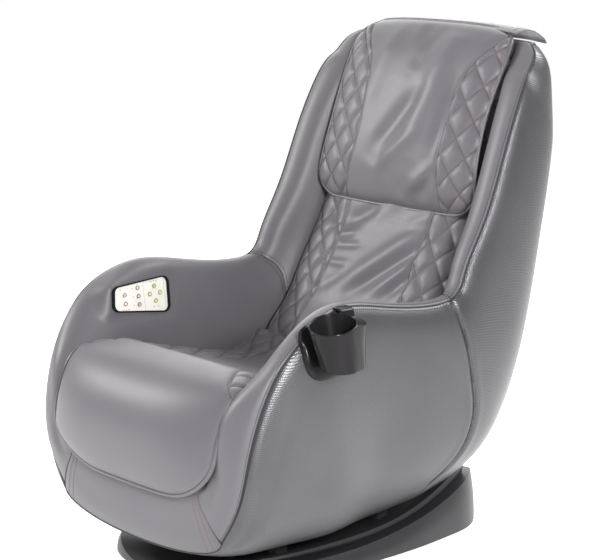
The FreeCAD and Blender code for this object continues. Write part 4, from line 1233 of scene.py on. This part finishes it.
def cup_bracket():
    """Plate against the side cover, and the clip that hooks over the arm."""
    cols, rows = 40, 40
    inner = np.zeros((cols, rows, 3))
    for i, y in enumerate(np.linspace(-316, -206, cols)):
        share = (y + 261) / 55.0
        low = 455 + 46 * (1 - math.sqrt(max(0.0, 1 - abs(share) ** 3.0)))
        high = 566 + 4 * share - 10 * max(0.0, -share) ** 6
        heights = np.linspace(low, high, rows)
        inner[i] = np.stack([cover_side(y, heights) + 0.5, np.full(rows, y), heights], axis=1)
    for _ in range(6):
        inner[1:-1, :, 0] = 0.25 * (inner[:-2, :, 0] + 2 * inner[1:-1, :, 0] + inner[2:, :, 0])
        inner[:, 1:-1, 0] = 0.25 * (inner[:, :-2, 0] + 2 * inner[:, 1:-1, 0] + inner[:, 2:, 0])
    u = np.linspace(-1, 1, cols)[:, None]
    v = np.linspace(-1, 1, rows)[None]
    thick = 6.5 * (1 - np.abs(u) ** 8) ** 0.5 * (1 - np.abs(v) ** 8) ** 0.5 + 0.6
    outer = inner.copy()
    outer[..., 0] += thick
    plate = closed_grid(outer * MM, inner * MM)
    hook = np.array([(343, 552), (351, 552), (352, 570), (349, 578), (341, 582), (330, 583), (324, 581),
                     (324, 577), (329, 578.5), (338, 578), (343, 573)], float)
    count = 80
    hook = np.vstack([hook, hook[:1]])
    run = lengths(hook)
    loop = cubic(run, hook)(np.linspace(0, run[-1], count + 1))[:-1]
    rings = []
    centre = loop.mean(axis=0)
    for y, scale in ((-209, 0.94), (-208, 0.982), (-206, 1.0), (-178, 1.0), (-176, 0.982), (-175, 0.94)):
        plan = centre + (loop - centre) * scale
        rings.append(np.column_stack([plan[:, 0], np.full(count, y), plan[:, 1]]))
    clip_faces = [face[::-1] for face in ring_faces(len(rings), count)]
    clip_faces.append(tuple(range(count)))
    clip_faces.append(tuple(range(len(rings) * count - 1, (len(rings) - 1) * count - 1, -1)))
    clip = np.concatenate(rings) * MM, clip_faces
    make("cup_bracket", merge([plate, clip]), GLOSS, "gloss_black", "cup_holder_bracket")


# ---------------------------------------------------------------- panel marks
PANEL_LEAN = math.atan(PANEL_SLOPE)
BUTTON_R = 4.6
BUTTONS = [(-264, 55), (-264, 36), (-228, 66), (-228, 48), (-228, 30),
           (-183, 64), (-197, 48), (-169, 48), (-183, 32)]
FACE_TOP = 2.2


def on_panel(depth, y, height):
    """Place on the control panel: depth out of the face, y, and height up the face."""
    return (PANEL_ORIGIN[0] + depth * math.cos(PANEL_LEAN) - height * math.sin(PANEL_LEAN), y,
            PANEL_ORIGIN[1] + depth * math.sin(PANEL_LEAN) + height * math.cos(PANEL_LEAN))


def panel_ring(y, height, radius, wire, depth):
    turn = np.linspace(0, 2 * math.pi, 33)[:-1]
    points = [on_panel(depth, y + radius * math.cos(a), height + radius * math.sin(a)) for a in turn]
    return tube(np.array(points) * MM, wire * MM, 8, True)


def panel_line(y0, h0, y1, h1, wire):
    ends = [on_panel(FACE_TOP, y0 + (y1 - y0) * i / 6.0, h0 + (h1 - h0) * i / 6.0) for i in range(7)]
    return tube(np.array(ends) * MM, wire * MM, 6)


def panel_marks():
    warm = plastic("ring_warm_looks", (0.30, 0.16, 0.14, 1), 0.4)
    grey = plastic("ring_grey_looks", (0.16, 0.15, 0.15, 1), 0.4)
    green = plastic("ring_green_looks", (0.28, 0.38, 0.05, 1), 0.4)
    groups = (("warm", BUTTONS[:2], warm), ("grey", BUTTONS[2:5], grey), ("green", BUTTONS[5:], green))
    for name, places, looks in groups:
        parts = [panel_ring(y, h, BUTTON_R - 0.6, 0.9, 3.6) for y, h in places]
        make("panel_rings_" + name, merge(parts), looks, "panel_face")
    dots = [(-242, 66), (-242, 48), (-242, 30), (-274, 67), (-271, 23), (-264, 22), (-257, 23),
            (-190, 74), (-183, 76), (-176, 74), (-189, 19), (-177, 19)]
    parts = []
    for y, h in dots:
        ring = np.array([on_panel(FACE_TOP + 0.1, y + 0.2 * k, h) for k in range(-3, 4)])
        parts.append(tube(ring * MM, 0.95 * MM, 8))
    for y, h in (BUTTONS[0], BUTTONS[4], BUTTONS[5]):
        bar = np.array([on_panel(3.7, y + 0.6 * k, h) for k in range(-3, 4)])
        parts.append(tube(bar * MM, 0.45 * MM, 6))
    make("panel_dots", merge(parts), GLOSS, "panel_face")
    parts = [panel_line(-213, 12, -212, 74, 0.25), panel_line(-157, 12, -156, 76, 0.25)]
    make("panel_lines", merge(parts), grey, "panel_face")


# ---------------------------------------------------------------- stage
LAMPS = (
    # name, place, target, size (m) and power (W)
    ("front_left", (-2.7, -2.0, 2.3), (0.0, 0.0, 0.65), 1.3, 92.0),
    ("back_left", (-2.6, 2.0, 2.3), (0.0, 0.0, 0.5), 3.2, 80.0),
    ("back_top", (0.7, 2.0, 2.7), (0.1, 0.0, 0.6), 1.5, 75.0),
    ("right", (3.0, -1.3, 1.7), (0.3, 0.2, 0.75), 0.6, 100.0),
)


def studio():
    scene = bpy.context.scene
    floor_mat, tree, shader = new_material("floor_looks")
    shader.inputs["Roughness"].default_value = 0.9
    tree.links.new(mix_colour(tree, noise(tree, 0.6), (0.88, 0.88, 0.88, 1), (0.92, 0.92, 0.92, 1)),
                   shader.inputs["Base Color"])
    shader.inputs["Emission Color"].default_value = (1.0, 1.0, 1.0, 1)
    shader.inputs["Emission Strength"].default_value = 0.62
    size = 60.0
    floor = add_mesh("floor", [(-size, -size, 0), (size, -size, 0), (size, size, 0), (-size, size, 0)],
                     [(0, 1, 2, 3)], floor_mat)

    world = bpy.data.worlds.new("studio")
    scene.world = world
    world.use_nodes = True
    world.node_tree.nodes["Background"].inputs[0].default_value = (1.0, 1.0, 1.0, 1)
    world.node_tree.nodes["Background"].inputs[1].default_value = 0.42

    for name, place, target, size, power in LAMPS:
        lamp = bpy.data.lights.new(name, "AREA")
        lamp.energy = power
        lamp.size = size
        holder = bpy.data.objects.new(name, lamp)
        bpy.context.collection.objects.link(holder)
        holder.location = place
        aim = Vector(target) - Vector(place)
        holder.rotation_euler = aim.to_track_quat("-Z", "Y").to_euler()

    camera = bpy.data.cameras.new("camera")
    camera.lens = 120.0
    camera.sensor_width = 36.0
    view = bpy.data.objects.new("camera", camera)
    bpy.context.collection.objects.link(view)
    view.location = (3.097, -2.790, 1.417)
    view.rotation_euler = (math.radians(90 - 11.65), 0.0, math.radians(47.99))
    scene.camera = view
    scene.view_settings.view_transform = "Standard"


# ---------------------------------------------------------------- assembly
dress_cad_nodes()
SIDE, SIDE_OUT = side_covers()
rear_covers()
bands(SIDE, SIDE_OUT)
apron()
pads()
crown_pad()
pillow_strap()
cup_holder()
cup_bracket()
panel_marks()
studio()
